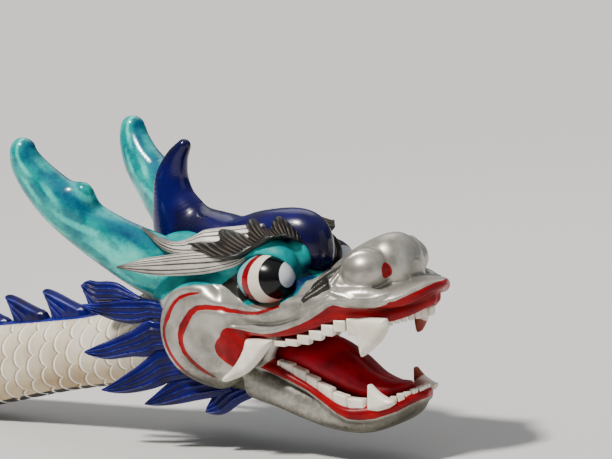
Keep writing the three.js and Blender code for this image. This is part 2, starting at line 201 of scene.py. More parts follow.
@dataclass(frozen=True)
class Limb:
    """A form along a curve: x, y, z, half width and half thickness."""

    rows: Rows

    def box(self) -> Box:
        """Return the lowest and highest corners."""
        r = np.asarray(self.rows, float)
        return (r[:, :3] - r[:, 3:4]).min(0), (r[:, :3] + r[:, 3:4]).max(0)

    def distance(self, x: Array, y: Array, z: Array) -> Array:
        """Return the distance to the skin."""
        def dot(a: Sequence[Array], b: Sequence[Array]) -> Array:
            """Return how far one direction goes along another."""
            return a[0] * b[0] + a[1] * b[1] + a[2] * b[2]

        points = spline(self.rows, 6)
        best = None
        for a, b in zip(points[:-1], points[1:]):
            run = b[:3] - a[:3]
            size = np.linalg.norm(run)
            way = run / size
            across = np.array([-way[2], 0.0, way[0]])
            across /= np.linalg.norm(across) + 1e-9
            gap = (x - a[0], y - a[1], z - a[2])
            t = np.clip(dot(gap, way) / size, 0, 1)
            rest = [g - t * r for g, r in zip(gap, run)]
            wide, thin = (a[k] + (b[k] - a[k]) * t for k in (3, 4))
            q = np.sqrt((dot(rest, across) / wide) ** 2
                        + (dot(rest, np.cross(way, across)) / thin) ** 2
                        + (dot(rest, way) / thin) ** 2)
            reach = np.sqrt(dot(rest, rest))
            d = np.where(q < 0.02, -thin, (q - 1) * reach / np.maximum(q, 0.02))
            best = d if best is None else np.minimum(best, d)
        return best


@dataclass(frozen=True)
class Bead:
    """A rounded lump: centre, half sizes, and a turn in the flank view in degrees."""

    centre: Sequence[float]
    half: Sequence[float]
    turn: float = 0.0

    def box(self) -> Box:
        """Return the lowest and highest corners."""
        big = max(self.half[0], self.half[2])
        reach = np.array([big, self.half[1], big]) if self.turn else np.array(self.half)
        return np.array(self.centre) - reach, np.array(self.centre) + reach

    def distance(self, x: Array, y: Array, z: Array) -> Array:
        """Return the distance to the skin."""
        c, s = math.cos(math.radians(self.turn)), math.sin(math.radians(self.turn))
        dx, dz = x - self.centre[0], z - self.centre[2]
        return oval_distance((dx * c + dz * s, y - self.centre[1], dz * c - dx * s), self.half)


@dataclass(frozen=True)
class Pad:
    """A round cushion that faces sideways: centre, radius, half thickness, edge radius, crown."""

    centre: Sequence[float]
    radius: float
    half: float
    edge: float
    crown: float

    def box(self) -> Box:
        """Return the lowest and highest corners."""
        reach = np.array([self.radius, self.half + self.crown, self.radius])
        return np.array(self.centre) - reach, np.array(self.centre) + reach

    def distance(self, x: Array, y: Array, z: Array) -> Array:
        """Return the distance to the skin."""
        far = np.sqrt((x - self.centre[0]) ** 2 + (z - self.centre[2]) ** 2)
        rise = self.crown * (1 - np.clip(far / self.radius, 0, 1) ** 2)
        a = far - (self.radius - self.edge)
        b = np.abs(y - self.centre[1]) - (self.half + rise - self.edge)
        outer = np.sqrt(np.maximum(a, 0) ** 2 + np.maximum(b, 0) ** 2)
        return outer + np.minimum(np.maximum(a, b), 0) - self.edge


@dataclass(frozen=True)
class Puff:
    """A lens-shaped slab that faces sideways: outline, sheet, half thickness and edge width.

    The sheet is a place x, y, z on its middle, and how fast y changes along x and along z.
    """

    outline: Rows
    sheet: Sequence[float]
    half: float
    edge: float

    def box(self) -> Box:
        """Return the lowest and highest corners."""
        x, z = np.asarray(self.outline, float).T
        y = self.middle(x, z)
        return (np.array([x.min(), y.min() - self.half, z.min()]),
                np.array([x.max(), y.max() + self.half, z.max()]))

    def middle(self, x: Array, z: Array) -> Array:
        """Return y on the sheet."""
        x0, y0, z0, along, upward = self.sheet
        return y0 + along * (x - x0) + upward * (z - z0)

    def distance(self, x: Array, y: Array, z: Array) -> Array:
        """Return the distance to the skin."""
        a = np.maximum((self.edge + patch_distance(x, z, self.outline)) / self.edge, 0)
        b = (y - self.middle(x, z)) / self.half
        return (np.sqrt(a * a + b * b) - 1) * min(self.half, self.edge)


@dataclass
class Clay:
    """Distances to a carved skin on a grid over the seen half, in millimetres."""

    low: Sequence[float]
    high: Sequence[float]
    step: float
    field: Array = field(init=False, repr=False)

    def __post_init__(self) -> None:
        """Lay out the grid; its last layer lies on the middle plane when high y is 0."""
        self.low = np.array(self.low, float)
        self.low[1] = self.high[1] - self.step * math.ceil((self.high[1] - self.low[1]) / self.step)
        size = np.ceil((np.array(self.high) - self.low) / self.step).astype(int) + 1
        self.field = np.full(size, EMPTY, np.float32)

    def window(self, low: Array, high: Array) -> tuple[tuple[slice, ...], list[Array]]:
        """Return the slices and the places of the part of the grid inside a box."""
        a = np.clip(np.floor((low - self.low) / self.step).astype(int), 0, None)
        b = np.clip(np.ceil((high - self.low) / self.step).astype(int) + 1, None, self.field.shape)
        cut = tuple(slice(i, max(j, i)) for i, j in zip(a, b))
        axes = [self.low[k] + self.step * np.arange(cut[k].start, cut[k].stop) for k in range(3)]
        return cut, np.meshgrid(*axes, indexing="ij", sparse=True)

    def work(self, form: Form, blend: float, sign: int, margin: float) -> "Clay":
        """Change the clay round a form, with an edge rounded by about the blend length."""
        low, high = form.box()
        cut, places = self.window(low - margin, high + margin)
        self.field[cut] = sign * smooth_min(sign * self.field[cut], form.distance(*places), blend)
        return self

    def add(self, form: Form, blend: float) -> "Clay":
        """Add a form."""
        return self.work(form, blend, 1, ADD_MARGIN)

    def cut(self, form: Form, blend: float) -> "Clay":
        """Take a form away."""
        return self.work(form, blend, -1, CUT_MARGIN)

    def trace(self, line: Rows, width: float, height: float, reach: tuple[float, float]) -> None:
        """Raise a ridge, or with a negative height sink a groove, along a flank line.

        Args:
            line: points in the flank view, x and z.
            width: distance at which the ridge has faded.
            height: its height in the middle.
            reach: the range of y that it works on.
        """
        line = spline(line, 4)
        near, far = line.min(0) - 3 * width, line.max(0) + 3 * width
        cut, (x, y, z) = self.window(np.array([near[0], reach[0], near[1]]),
                                     np.array([far[0], reach[1], far[1]]))
        bump = height * np.exp(-((stroke_distance(x, z, line) / width) ** 2))
        fade = np.clip((reach[1] - y) / 10, 0, 1) * np.clip((y - reach[0]) / 10, 0, 1)
        self.field[cut] -= bump * fade

    def sample(self, places: Array, whole: Array) -> Array:
        """Return the distances at places between the grid points of a whole field."""
        q = (places - self.low) / self.step
        i = np.clip(np.floor(q).astype(int), 0, np.array(whole.shape) - 2)
        f = q - i
        out = np.zeros(len(places))
        for corner in CORNERS:
            w = np.where(corner, f, 1 - f)
            out += w[:, 0] * w[:, 1] * w[:, 2] * whole[tuple((i + corner).T)]
        return out

    def slope(self, places: Array, whole: Array) -> Array:
        """Return the direction and steepness of the distance at places."""
        reach = 0.6 * self.step
        return np.stack([self.sample(places + shift, whole) - self.sample(places - shift, whole)
                         for shift in reach * np.eye(3)], 1) / (2 * reach)

    def skin(self, mirrored: bool = False) -> "Skin":
        """Draw the smoothed surface where the distance is nothing.

        Args:
            mirrored: whether the other half is added across the middle plane.

        Returns:
            The surface with its directions, hollows and relief.
        """
        whole = self.field
        if mirrored:
            whole = np.concatenate([whole, whole[:, -2::-1, :]], axis=1)
        points, quads = surface_nets(whole)
        places = self.low + self.step * points
        edges = quad_edges(quads)
        for _ in range(2):
            places = places + SMOOTHING * (neighbour_mean(places, edges) - places)
            for _ in range(2):
                slope = self.slope(places, whole)
                grade = np.maximum((slope**2).sum(1), 0.2)
                places = places - slope * np.clip(self.sample(places, whole) / grade, -2, 2)[:, None]
        slope = self.slope(places, whole)
        normal = slope / np.maximum(np.linalg.norm(slope, axis=1), 1e-6)[:, None]
        # How shut in each point is by the surface round it: the paint lays grime and painted shade by
        # it.
        open_air = np.zeros(len(places))
        for reach in AIR_REACHES:
            open_air += np.clip(self.sample(places + normal * reach, whole) / reach, 0, 1)
        open_air /= len(AIR_REACHES)
        relief = 4 * relief_of(places, normal, edges, self.step, SMOOTHING, 2)
        return Skin(places, quads, normal, {"hollow": 1 - open_air, "relief": relief})


Form = Loft | Limb | Bead | Pad | Puff


def surface_nets(values: Array) -> tuple[Array, Array]:
    """Draw four-sided faces where values on a grid change sign.

    Args:
        values: the field, negative inside.

    Returns:
        Points in grid units, and faces of four point numbers that face outwards.
    """
    inside = values < 0
    count = np.zeros(tuple(s - 1 for s in values.shape), np.uint8)
    for corner in CORNERS:
        count += inside[tuple(slice(k, size - 1 + k) for k, size in zip(corner, values.shape))]
    cells = np.argwhere((count > 0) & (count < 8))
    number = np.full(count.shape, -1, np.int64)
    number[tuple(cells.T)] = np.arange(len(cells))
    total, hits = np.zeros((len(cells), 3)), np.zeros(len(cells))
    axes = np.eye(3, dtype=int)
    for a, way in ((np.array(a), way) for a in CORNERS for way in axes if not way @ a):
        va, vb = (values[tuple((cells + end).T)].astype(float) for end in (a, a + way))
        on = (va < 0) != (vb < 0)
        t = np.where(on, va / np.where(va == vb, 1, va - vb), 0)
        total[on] += (a + t[:, None] * way)[on]
        hits += on
    quads = []
    for k in range(3):
        lower, upper = (inside[tuple(cut if n == k else slice(1, -1) for n in range(3))]
                        for cut in (slice(0, -1), slice(1, None)))
        u, v = axes[(k + 1) % 3], axes[(k + 2) % 3]
        for turn, mask in ((1, lower & ~upper), (-1, ~lower & upper)):
            at = np.argwhere(mask) + u + v
            face = np.stack([number[tuple(c.T)] for c in (at - u - v, at - v, at, at - u)], 1)
            quads.append(face[:, ::turn])
    return cells + total / np.maximum(hits, 1)[:, None], np.vstack(quads)


def quad_edges(faces: Array) -> Array:
    """Return the edges of faces, each once, as pairs of point numbers."""
    pairs = np.stack([faces, np.roll(faces, -1, axis=1)], 2).reshape(-1, 2)
    return np.unique(np.sort(pairs, axis=1), axis=0)


def neighbour_mean(values: Array, edges: Array) -> Array:
    """Return for each point the mean of the values at the points joined to it."""
    n = len(values)
    a, b = edges.T
    total = [np.bincount(a, column[b], n) + np.bincount(b, column[a], n) for column in values.T]
    return np.stack(total, 1) / np.maximum(np.bincount(edges.ravel(), minlength=n), 1)[:, None]


def relief_of(places: Array, normal: Array, edges: Array, size: float, share: float,
              rounds: int) -> Array:
    """Return how far points stand proud of their neighbours.

    Args:
        places: the points.
        normal: the outward direction at each.
        edges: pairs of points that are joined.
        size: the length that the relief is measured by.
        share: how far each round of smoothing goes towards the neighbours.
        rounds: how many rounds follow.

    Returns:
        The relief at each point, negative in a groove.
    """
    relief = ((places - neighbour_mean(places, edges)) * normal).sum(1) / size
    for _ in range(rounds):
        relief = (1 - share) * relief + share * neighbour_mean(relief[:, None], edges)[:, 0]
    return relief


# Meshes


@dataclass
class Skin:
    """A surface in millimetres with named values at its points."""

    places: Array
    faces: Array
    normal: Array | None = None
    marks: dict[str, Array] = field(default_factory=dict)

    def on(self, side: Side) -> "Skin":
        """Return the surface on a flank, facing outwards."""
        if side is Side.RIGHT:
            return self
        turn = np.array([1.0, -1.0, 1.0])
        normal = None if self.normal is None else self.normal * turn
        return Skin(self.places * turn, self.faces[:, ::-1].copy(), normal, dict(self.marks))

    def keep(self, faces: Array) -> "Skin":
        """Return the surface with only the chosen faces and the points that they use."""
        used = np.unique(faces)
        number = np.full(len(self.places), -1)
        number[used] = np.arange(len(used))
        return Skin(self.places[used], number[faces], self.normal[used],
                    {k: v[used] for k, v in self.marks.items()})

    def face_turns(self) -> Array:
        """Return the outward direction of each face, as long as twice its area."""
        a, b, c, d = (self.places[self.faces[:, k]] for k in range(4))
        return np.cross(c - a, d - b)

    def with_relief(self) -> "Skin":
        """Work out the directions and the relief from the faces alone."""
        turns = self.face_turns()
        total = sum(np.stack([np.bincount(self.faces[:, k], turn, len(self.places))
                              for turn in turns.T], 1) for k in range(4))
        self.normal = total / np.maximum(np.linalg.norm(total, axis=1), 1e-9)[:, None]
        edges = quad_edges(self.faces)
        size = np.linalg.norm(self.places[edges[:, 0]] - self.places[edges[:, 1]], axis=1).mean()
        relief = relief_of(self.places, self.normal, edges, size, 0.5, 1)
        # Points in a hollow are marked, for the paint's grime and painted shade.
        self.marks.update(relief=relief * 3, hollow=np.clip(-relief * 2, 0, 1))
        return self


def ring_skin(rings: Array) -> Skin:
    """Join rings of points into a closed surface, with a fan over each end.

    Args:
        rings: points by ring, by place round the ring, by coordinate.

    Returns:
        The surface in faces of four points, facing outwards. Its last two points are the
        middles of the ends.
    """
    count, around, _ = rings.shape
    places = np.vstack([rings.reshape(-1, 3), rings[0].mean(0), rings[-1].mean(0)])
    i, j = (g.ravel() for g in np.meshgrid(np.arange(count - 1), np.arange(around), indexing="ij"))
    k = (j + 1) % around
    faces = [np.stack([i * around + j, i * around + k, (i + 1) * around + k, (i + 1) * around + j], 1)]
    j = np.arange(0, around, 2)
    k, m = (j + 1) % around, (j + 2) % around
    first, last = np.full(len(j), count * around), np.full(len(j), count * around + 1)
    top = (count - 1) * around
    faces += [np.stack([first, m, k, j], 1), np.stack([last, top + j, top + k, top + m], 1)]
    skin = Skin(places, np.vstack(faces))
    if (places[skin.faces].mean(1) * skin.face_turns()).sum() < 0:
        skin.faces = skin.faces[:, ::-1].copy()
    return skin


def on_rings(values: Array, rest: float) -> Array:
    """Return values on rings as values at the points of their skin, with one for its ends."""
    return np.append(values, [rest, rest])


def shell_skin(sheet: Array, way: Array, front: Array, back: Array) -> Skin:
    """Close a sheet of points into a shell, thickened by front and back along a direction."""
    outer, inner = sheet + way * front[..., None], sheet - way * back[..., None]
    return ring_skin(np.concatenate([outer, inner[:, -2:0:-1]], axis=1)).with_relief()


def on_shell(values: Array, rest: float) -> Array:
    """Return values on the front of a shell as values at the points of its skin."""
    along, across = values.shape
    return on_rings(np.concatenate([values, np.full((along, across - 2), rest)], axis=1), rest)


def carve_object(name: str, skin: Skin, finish: Finish, nodes: Iterable[str]) -> None:
    """Make a piece of a surface, for the solids that it stands for."""
    place_object(name, mesh_of(name, skin), finish, nodes)


def carve_sides(name: str, skin: Skin, finish: Finish, node: str,
                sides: Iterable[Side] = tuple(Side)) -> None:
    """Make a piece on each flank of a surface on the seen flank."""
    for side in sides:
        carve_object(f"{name}_{side.word}", skin.on(side), finish, [f"{node}_{side.word}"])


def mesh_of(name: str, skin: Skin) -> bpy.types.Mesh:
    """Return the mesh of a surface in metres, with its values and directions."""
    mesh = bpy.data.meshes.new(name)
    n, sides = skin.faces.shape
    mesh.vertices.add(len(skin.places))
    mesh.vertices.foreach_set("co", (skin.places * MM).astype(np.float32).ravel())
    mesh.loops.add(n * sides)
    mesh.loops.foreach_set("vertex_index", skin.faces.astype(np.int32).ravel())
    mesh.polygons.add(n)
    mesh.polygons.foreach_set("loop_start", np.arange(0, n * sides, sides, dtype=np.int32))
    mesh.polygons.foreach_set("loop_total", np.full(n, sides, dtype=np.int32))
    mesh.polygons.foreach_set("use_smooth", np.ones(n, bool))
    for mark, values in skin.marks.items():
        mesh.attributes.new(mark, "FLOAT", "POINT").data.foreach_set(
            "value", values.astype(np.float32))
    mesh.update(calc_edges=True)
    mesh.validate()
    if skin.normal is not None:
        mesh.normals_split_custom_set_from_vertices(skin.normal.astype(np.float32))
    return mesh


def place_object(name: str, mesh: bpy.types.Mesh, finish: Finish, nodes: Iterable[str]) -> None:
    """Set a finished mesh in the scene as a piece, and report it.

    Args:
        name: name of the piece.
        mesh: its mesh in metres.
        finish: its finish.
        nodes: solids of the frame that the piece stands for.
    """
    mesh.materials.clear()
    mesh.materials.append(finish.material())
    piece = bpy.data.objects.new(name, mesh)
    bpy.context.scene.collection.objects.link(piece)
    nodes = list(nodes)
    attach(piece, "root")
    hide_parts(*nodes)
    LOG.info("%s: %d faces, for %s", name, len(mesh.polygons), ", ".join(nodes))


# Finishes


@dataclass
class Wiring:
    """A node tree with short ways to place its nodes and join them."""

    tree: bpy.types.NodeTree

    def node(self, kind: str, values: dict | None = None, **settings) -> bpy.types.Node:
        """Place a node, give its settings and give or join its inputs.

        Args:
            kind: type of the node.
            values: inputs by name or number, each a value or a socket to join.
            settings: properties of the node.

        Returns:
            The node.
        """
        made = self.tree.nodes.new(kind)
        for key, value in settings.items():
            setattr(made, key, value)
        for key, value in (values or {}).items():
            if isinstance(value, bpy.types.NodeSocket):
                self.tree.links.new(value, made.inputs[key])
            else:
                made.inputs[key].default_value = value
        return made

    def math(self, operation: str, a, b, clamp: bool = False) -> bpy.types.NodeSocket:
        """Return the result of a sum on two values."""
        return self.node("ShaderNodeMath", {0: a, 1: b}, operation=operation,
                         use_clamp=clamp).outputs[0]

    def scaled(self, value, size) -> bpy.types.NodeSocket:
        """Return a value times a size."""
        return self.math("MULTIPLY", value, size)

    def swing(self, value, size) -> bpy.types.NodeSocket:
        """Return a value of 0 to 1 as a swing of a size about nothing."""
        return self.scaled(self.math("SUBTRACT", value, 0.5), size)

    def total(self, first, *rest, clamp: bool = False) -> bpy.types.NodeSocket:
        """Return the sum of values, kept within 0 and 1 where clamp is set."""
        for value in rest[:-1]:
            first = self.math("ADD", first, value)
        return self.math("ADD", first, rest[-1], clamp)

    def vector(self, operation: str, values: dict) -> bpy.types.NodeSocket:
        """Return the result of a sum on vectors."""
        return self.node("ShaderNodeVectorMath", values, operation=operation).outputs[0]

    def mix(self, factor, a, b) -> bpy.types.NodeSocket:
        """Return the colour between two colours."""
        return self.node("ShaderNodeMix", {0: factor, 6: a, 7: b}, data_type="RGBA").outputs[2]

    def blend(self, factor, a, b) -> bpy.types.NodeSocket:
        """Return the value between two values."""
        return self.node("ShaderNodeMix", {0: factor, 2: a, 3: b}, data_type="FLOAT").outputs[0]

    def ramp(self, value, low: float, high: float, a=0.0, b=1.0) -> bpy.types.NodeSocket:
        """Return a value spread from one range to another, smoothly and within its ends."""
        return self.node("ShaderNodeMapRange", {0: value, 1: low, 2: high, 3: a, 4: b},
                         interpolation_type="SMOOTHSTEP").outputs[0]

    def noise(self, vector, scale, detail: float, rough: float = 0.55) -> bpy.types.NodeSocket:
        """Return a cloudy value between 0 and 1."""
        return self.node("ShaderNodeTexNoise", {"Vector": vector, "Scale": scale, "Detail": detail,
                                                "Roughness": rough}).outputs["Fac"]

    def mark(self, name: str) -> bpy.types.NodeSocket:
        """Return a value that the mesh carries at its points."""
        return self.node("ShaderNodeAttribute", attribute_name=name).outputs["Fac"]


def start_group(name: str, kind: str, inputs: Sequence[tuple], outputs: Sequence[tuple]
                ) -> tuple[Wiring, dict[str, bpy.types.NodeSocket]]:
    """Start a node group with named sockets.

    Args:
        name: name of the group.
        kind: type of its tree.
        inputs: name and kind of each input, with its value where it has one.
        outputs: name and kind of each output.

    Returns:
        The wiring of its tree, and its inputs by name.
    """
    tree = bpy.data.node_groups.new(name, kind)
    for way, rows in (("INPUT", inputs), ("OUTPUT", outputs)):
        for label, socket_kind, *value in rows:
            socket = tree.interface.new_socket(label, in_out=way,
                                               socket_type=f"NodeSocket{socket_kind}")
            if value:
                socket.default_value = value[0]
    w = Wiring(tree)
    return w, {s.name: s for s in w.node("NodeGroupInput").outputs}


@cache
def aged_paint() -> bpy.types.NodeTree:
    """Build the effect of old brushed paint: cloudy colour, grime and painted shade in hollows, rubbed
    edges.
    """
    white = (0.8, 0.8, 0.8, 1)
    w, i = start_group("aged_paint", "ShaderNodeTree", [
        ("Vector", "Vector"), ("Paint", "Color", white), ("Second coat", "Color", white),
        ("Dirt", "Color", (0.05, 0.04, 0.03, 1)), ("Undercoat", "Color", white),
        ("Relief", "Float"), ("Hollow", "Float"), ("Cloud size", "Float", 18.0),
        ("Brush", "Float", 0.3), ("Dirt amount", "Float", 0.5), ("Rub", "Float", 0.4),
        ("Gloss", "Float", 0.4)], [("Paint", "Color"), ("Roughness", "Float"), ("Height", "Float")])
    cloud = w.noise(i["Vector"], i["Cloud size"], 5.0, 0.6)
    drawn = w.vector("MULTIPLY", {0: i["Vector"], 1: (0.16, 1.0, 1.0)})
    strokes, speck = w.noise(drawn, 260.0, 3.0, 0.6), w.noise(i["Vector"], 620.0, 2.0, 0.7)
    second = w.total(w.ramp(cloud, 0.35, 0.68), w.swing(strokes, i["Brush"]), clamp=True)
    colour = w.mix(second, i["Paint"], i["Second coat"])
    # Grime and painted shade: darker paint where a point lies in a hollow, less where it stands proud.
    sunk = w.total(w.scaled(i["Hollow"], 1.1), w.scaled(i["Relief"], -0.9), w.swing(cloud, 0.7))
    dirt = w.math("MULTIPLY", w.ramp(sunk, 0.15, 1.15), i["Dirt amount"], True)
    colour = w.mix(dirt, colour, i["Dirt"])
    # Rubbed edges: proud points show the lighter undercoat; on the neck the relief behind this is a
    # painted highlight.
    proud = w.total(i["Relief"], w.swing(speck, 0.9))
    rubbed_and_lit = w.math("MULTIPLY", w.ramp(proud, 0.42, 0.62), i["Rub"], True)
    colour = w.mix(rubbed_and_lit, colour, i["Undercoat"])
    rough = w.total(i["Gloss"], w.swing(cloud, 0.22), w.scaled(dirt, 0.3), w.scaled(rubbed_and_lit, 0.2),
                    clamp=True)
    height = w.total(w.scaled(strokes, 0.6), w.scaled(speck, 0.25), w.scaled(rubbed_and_lit, -0.25))
    w.node("NodeGroupOutput", {0: colour, 1: rough, 2: height})
    return w.tree


@cache
def painted_edge() -> bpy.types.NodeTree:
    """Build the effect of an edge painted by hand: a mask from a distance that wavers."""
    w, i = start_group("painted_edge", "ShaderNodeTree", [
        ("Vector", "Vector"), ("Distance", "Float", 1.0), ("Waver", "Float", 1.2),
        ("Softness", "Float", 0.4)], [("Mask", "Float")])
    wave = w.swing(w.noise(i["Vector"], 130.0, 3.0), i["Waver"])
    edge = w.math("DIVIDE", w.total(i["Distance"], wave), i["Softness"])
    w.node("NodeGroupOutput", {0: w.ramp(edge, -1.0, 1.0, 1.0, 0.0)})
    return w.tree


def rgb(*screen: float) -> tuple[float, ...]:
    """Return the colour of paint from its screen values of 0 to 255, red, green and blue."""
    shares = (v / 255 for v in screen)
    return (*(v / 12.92 if v <= 0.04045 else ((v + 0.055) / 1.055) ** 2.4 for v in shares), 1.0)


@dataclass(frozen=True)
class Seat:
    """A place for a copy of a carved pattern, with its turn, and its size along each axis."""

    place: Sequence[float]
    turn: Sequence[float]
    size: Sequence[float] = (1.0, 1.0, 1.0)


@cache
def seated_rows() -> bpy.types.NodeTree:
    """Build the geometry nodes that set a pattern on seats, each a little off true."""
    w, i = start_group("seated_rows", "GeometryNodeTree", [
        ("Geometry", "Geometry"), ("Pattern", "Object"), ("Finish", "Material"),
        ("Sway", "Float"), ("Vary", "Float"), ("Seed", "Int")], [("Geometry", "Geometry")])
    pattern = w.node("GeometryNodeObjectInfo", {"Object": i["Pattern"]})
    turn, size = (w.node("GeometryNodeInputNamedAttribute", {"Name": label},
                         data_type="FLOAT_VECTOR").outputs["Attribute"] for label in ("turn", "size"))
    sway = w.node("FunctionNodeRandomValue", {0: (-1, -1, -1), 1: (1, 1, 1), "Seed": i["Seed"]},
                  data_type="FLOAT_VECTOR").outputs[0]
    turn = w.vector("ADD", {0: turn, 1: w.vector("SCALE", {0: sway, "Scale": i["Sway"]})})
    vary = w.node("FunctionNodeRandomValue", {2: -1.0, 3: 1.0, "Seed": i["Seed"]},
                  data_type="FLOAT").outputs[1]
    vary = w.total(w.scaled(vary, i["Vary"]), 1.0)
    seated = w.node("GeometryNodeInstanceOnPoints", {
        "Points": i["Geometry"], "Instance": pattern.outputs["Geometry"],
        "Rotation": w.node("FunctionNodeEulerToRotation", {0: turn}).outputs[0],
        "Scale": w.vector("SCALE", {0: size, "Scale": vary})})
    real = w.node("GeometryNodeRealizeInstances", {0: seated.outputs[0]})
    done = w.node("GeometryNodeSetMaterial", {"Geometry": real.outputs[0], "Material": i["Finish"]})
    w.node("NodeGroupOutput", {0: done.outputs[0]})
    return w.tree


def seat_copies(name: str, pattern: Skin, seats: Sequence[Seat], finish: Finish,
                nodes: Iterable[str], sway: float, vary: float, seed: int) -> None:
    """Set copies of a carved pattern on seats, as one plain piece.

    Args:
        name: name of the piece.
        pattern: surface of one copy in millimetres, about its own origin.
        seats: where the copies go.
        finish: their finish.
        nodes: solids of the frame that the piece stands for.
        sway: most that a copy is turned at random, in radians.
        vary: most that its size changes at random.
        seed: number that the random values start from.
    """
    pattern.normal = None
    model = bpy.data.objects.new(f"{name}_pattern", mesh_of(f"{name}_pattern", pattern))
    points = bpy.data.meshes.new(f"{name}_seats")
    points.vertices.add(len(seats))
    points.vertices.foreach_set("co", (np.array([s.place for s in seats]) * MM).ravel())
    for label in ("turn", "size"):
        points.attributes.new(label, "FLOAT_VECTOR", "POINT").data.foreach_set(
            "vector", np.array([getattr(s, label) for s in seats], float).ravel())
    carrier = bpy.data.objects.new(f"{name}_seats", points)
    for item in (model, carrier):
        bpy.context.scene.collection.objects.link(item)
    layer = carrier.modifiers.new("rows", "NODES")
    layer.node_group = seated_rows()
    values = {"Pattern": model, "Finish": finish.material(), "Sway": sway, "Vary": vary,
              "Seed": seed}
    for item in layer.node_group.interface.items_tree:
        if item.in_out == "INPUT" and item.name in values:
            layer[item.identifier] = values[item.name]
    carrier.update_tag()
    bpy.context.view_layer.update()
    view = bpy.context.evaluated_depsgraph_get()
    mesh = bpy.data.meshes.new_from_object(carrier.evaluated_get(view), depsgraph=view)
    mesh.name = name
    for item in (model, carrier):
        bpy.data.objects.remove(item)
    mesh.polygons.foreach_set("use_smooth", np.ones(len(mesh.polygons), bool))
    place_object(name, mesh, finish, nodes)


@dataclass(frozen=True)
class Coat:
    """A second paint inside an edge that the mesh carries as a distance in millimetres."""

    mark: str
    paint: tuple
    second: tuple
    waver: float = 1.2
    softness: float = 0.5


@dataclass(frozen=True)
class Finish:
    """A painted or bare finish on carved wood."""

    name: str
    slot: str
    paint: tuple
    second: tuple
    # Colour of the grime and painted shade in hollows.
    dirt: tuple = (0.03, 0.025, 0.02, 1)
    undercoat: tuple = (0.5, 0.45, 0.4, 1)
    metal: float = 0.0
    gloss: float = 0.4
    coat: float = 0.0
    shine: float = 0.5
    clouds: float = 18.0
    brush: float = 0.3
    dirt_amount: float = 0.5
    rub: float = 0.3
    bump: float = 0.25
    coats: tuple[Coat, ...] = ()

    def material(self) -> bpy.types.Material:
        """Build the material, or return it where it has been built."""
        made = bpy.data.materials.get(self.name)
        if made:
            return made
        made = bpy.data.materials.new(self.name)
        made.use_nodes = True
        w = Wiring(made.node_tree)
        w.tree.nodes.clear()
        place = w.node("ShaderNodeTexCoord").outputs["Object"]
        paint, second, metal = self.paint, self.second, self.metal
        for coat in self.coats:
            mask = w.node("ShaderNodeGroup", {
                "Vector": place, "Distance": w.mark(coat.mark), "Waver": coat.waver,
                "Softness": coat.softness}, node_tree=painted_edge()).outputs[0]
            paint, second = w.mix(mask, paint, coat.paint), w.mix(mask, second, coat.second)
            if self.metal:
                metal = w.blend(mask, metal, 0.0)
        aged_and_shaded = w.node("ShaderNodeGroup", {
            "Vector": place, "Paint": paint, "Second coat": second, "Dirt": self.dirt,
            "Undercoat": self.undercoat, "Relief": w.mark("relief"), "Hollow": w.mark("hollow"),
            "Cloud size": self.clouds, "Brush": self.brush, "Dirt amount": self.dirt_amount,
            "Rub": self.rub, "Gloss": self.gloss}, node_tree=aged_paint()).outputs
        bump = w.node("ShaderNodeBump", {"Strength": self.bump, "Distance": MM,
                                         "Height": aged_and_shaded["Height"]})
        shader = w.node("ShaderNodeBsdfPrincipled", {
            "Base Color": aged_and_shaded["Paint"], "Roughness": aged_and_shaded["Roughness"], "Metallic": metal,
            "Normal": bump.outputs[0], "Coat Weight": self.coat, "Coat Roughness": LACQUER_ROUGHNESS,
            "Specular IOR Level": self.shine})
        w.node("ShaderNodeOutputMaterial", {"Surface": shader.outputs[0]})
        return made


SILVER_A, SILVER_B = rgb(188, 184, 176), rgb(144, 140, 131)
RED_A, RED_B = rgb(156, 0, 12), rgb(108, 0, 12)
TURQ_A, TURQ_B = rgb(6, 158, 156), rgb(0, 108, 118)
BLUE_A, BLUE_B = rgb(14, 30, 140), rgb(16, 10, 84)

HEAD = Finish("silver_head_paint", "silver", SILVER_A, SILVER_B, metal=0.65, gloss=0.34,
              undercoat=rgb(226, 224, 218), dirt=rgb(70, 67, 58), rub=0.1, dirt_amount=0.3, shine=0.2,
              coats=(Coat("mouth_red", RED_A, RED_B),
                     Coat("turquoise_edge", TURQ_A, TURQ_B, softness=0.8),
                     # Blue behind the cheek, and the painted shade of the eye_shade patch beside the
                     # eye.
                     Coat("blue_edge", rgb(6, 40, 80), rgb(6, 14, 56), softness=7.0, waver=4.0),
                     Coat("red_line", RED_A, RED_B, waver=1.6),
                     # Painted shade: darker, duller silver low on the head on faces that look down, and
                     # in the lower jaw's valley.
                     Coat("under", rgb(92, 88, 74), rgb(64, 60, 50), softness=5.0, waver=7.0),
                     Coat("black_line", rgb(24, 22, 20), rgb(40, 38, 35), waver=1.0)))
HORN = Finish("pearly_turquoise", "turquoise", rgb(0, 172, 164), rgb(0, 112, 124),
              undercoat=rgb(150, 226, 222), rub=0.16, metal=0.15, gloss=0.2, coat=0.3,
              shine=0.3, clouds=22, brush=0.9,
              # The pearly coat lays the pearly streaks and a painted gleam near the root.
              coats=(Coat("pearl", rgb(92, 228, 214), rgb(20, 190, 182), softness=5.0, waver=9.0),
                     Coat("worn", rgb(150, 178, 160), rgb(96, 140, 132), softness=6.0, waver=8.0),
                     Coat("shade", rgb(8, 108, 132), rgb(4, 70, 104), softness=9.0, waver=9.0)))
CREST = Finish("deep_blue_gloss", "crest_blue", rgb(10, 4, 84), rgb(5, 2, 44),
               undercoat=rgb(34, 42, 146), gloss=0.24, coat=0.2, shine=0.3,
               clouds=12)
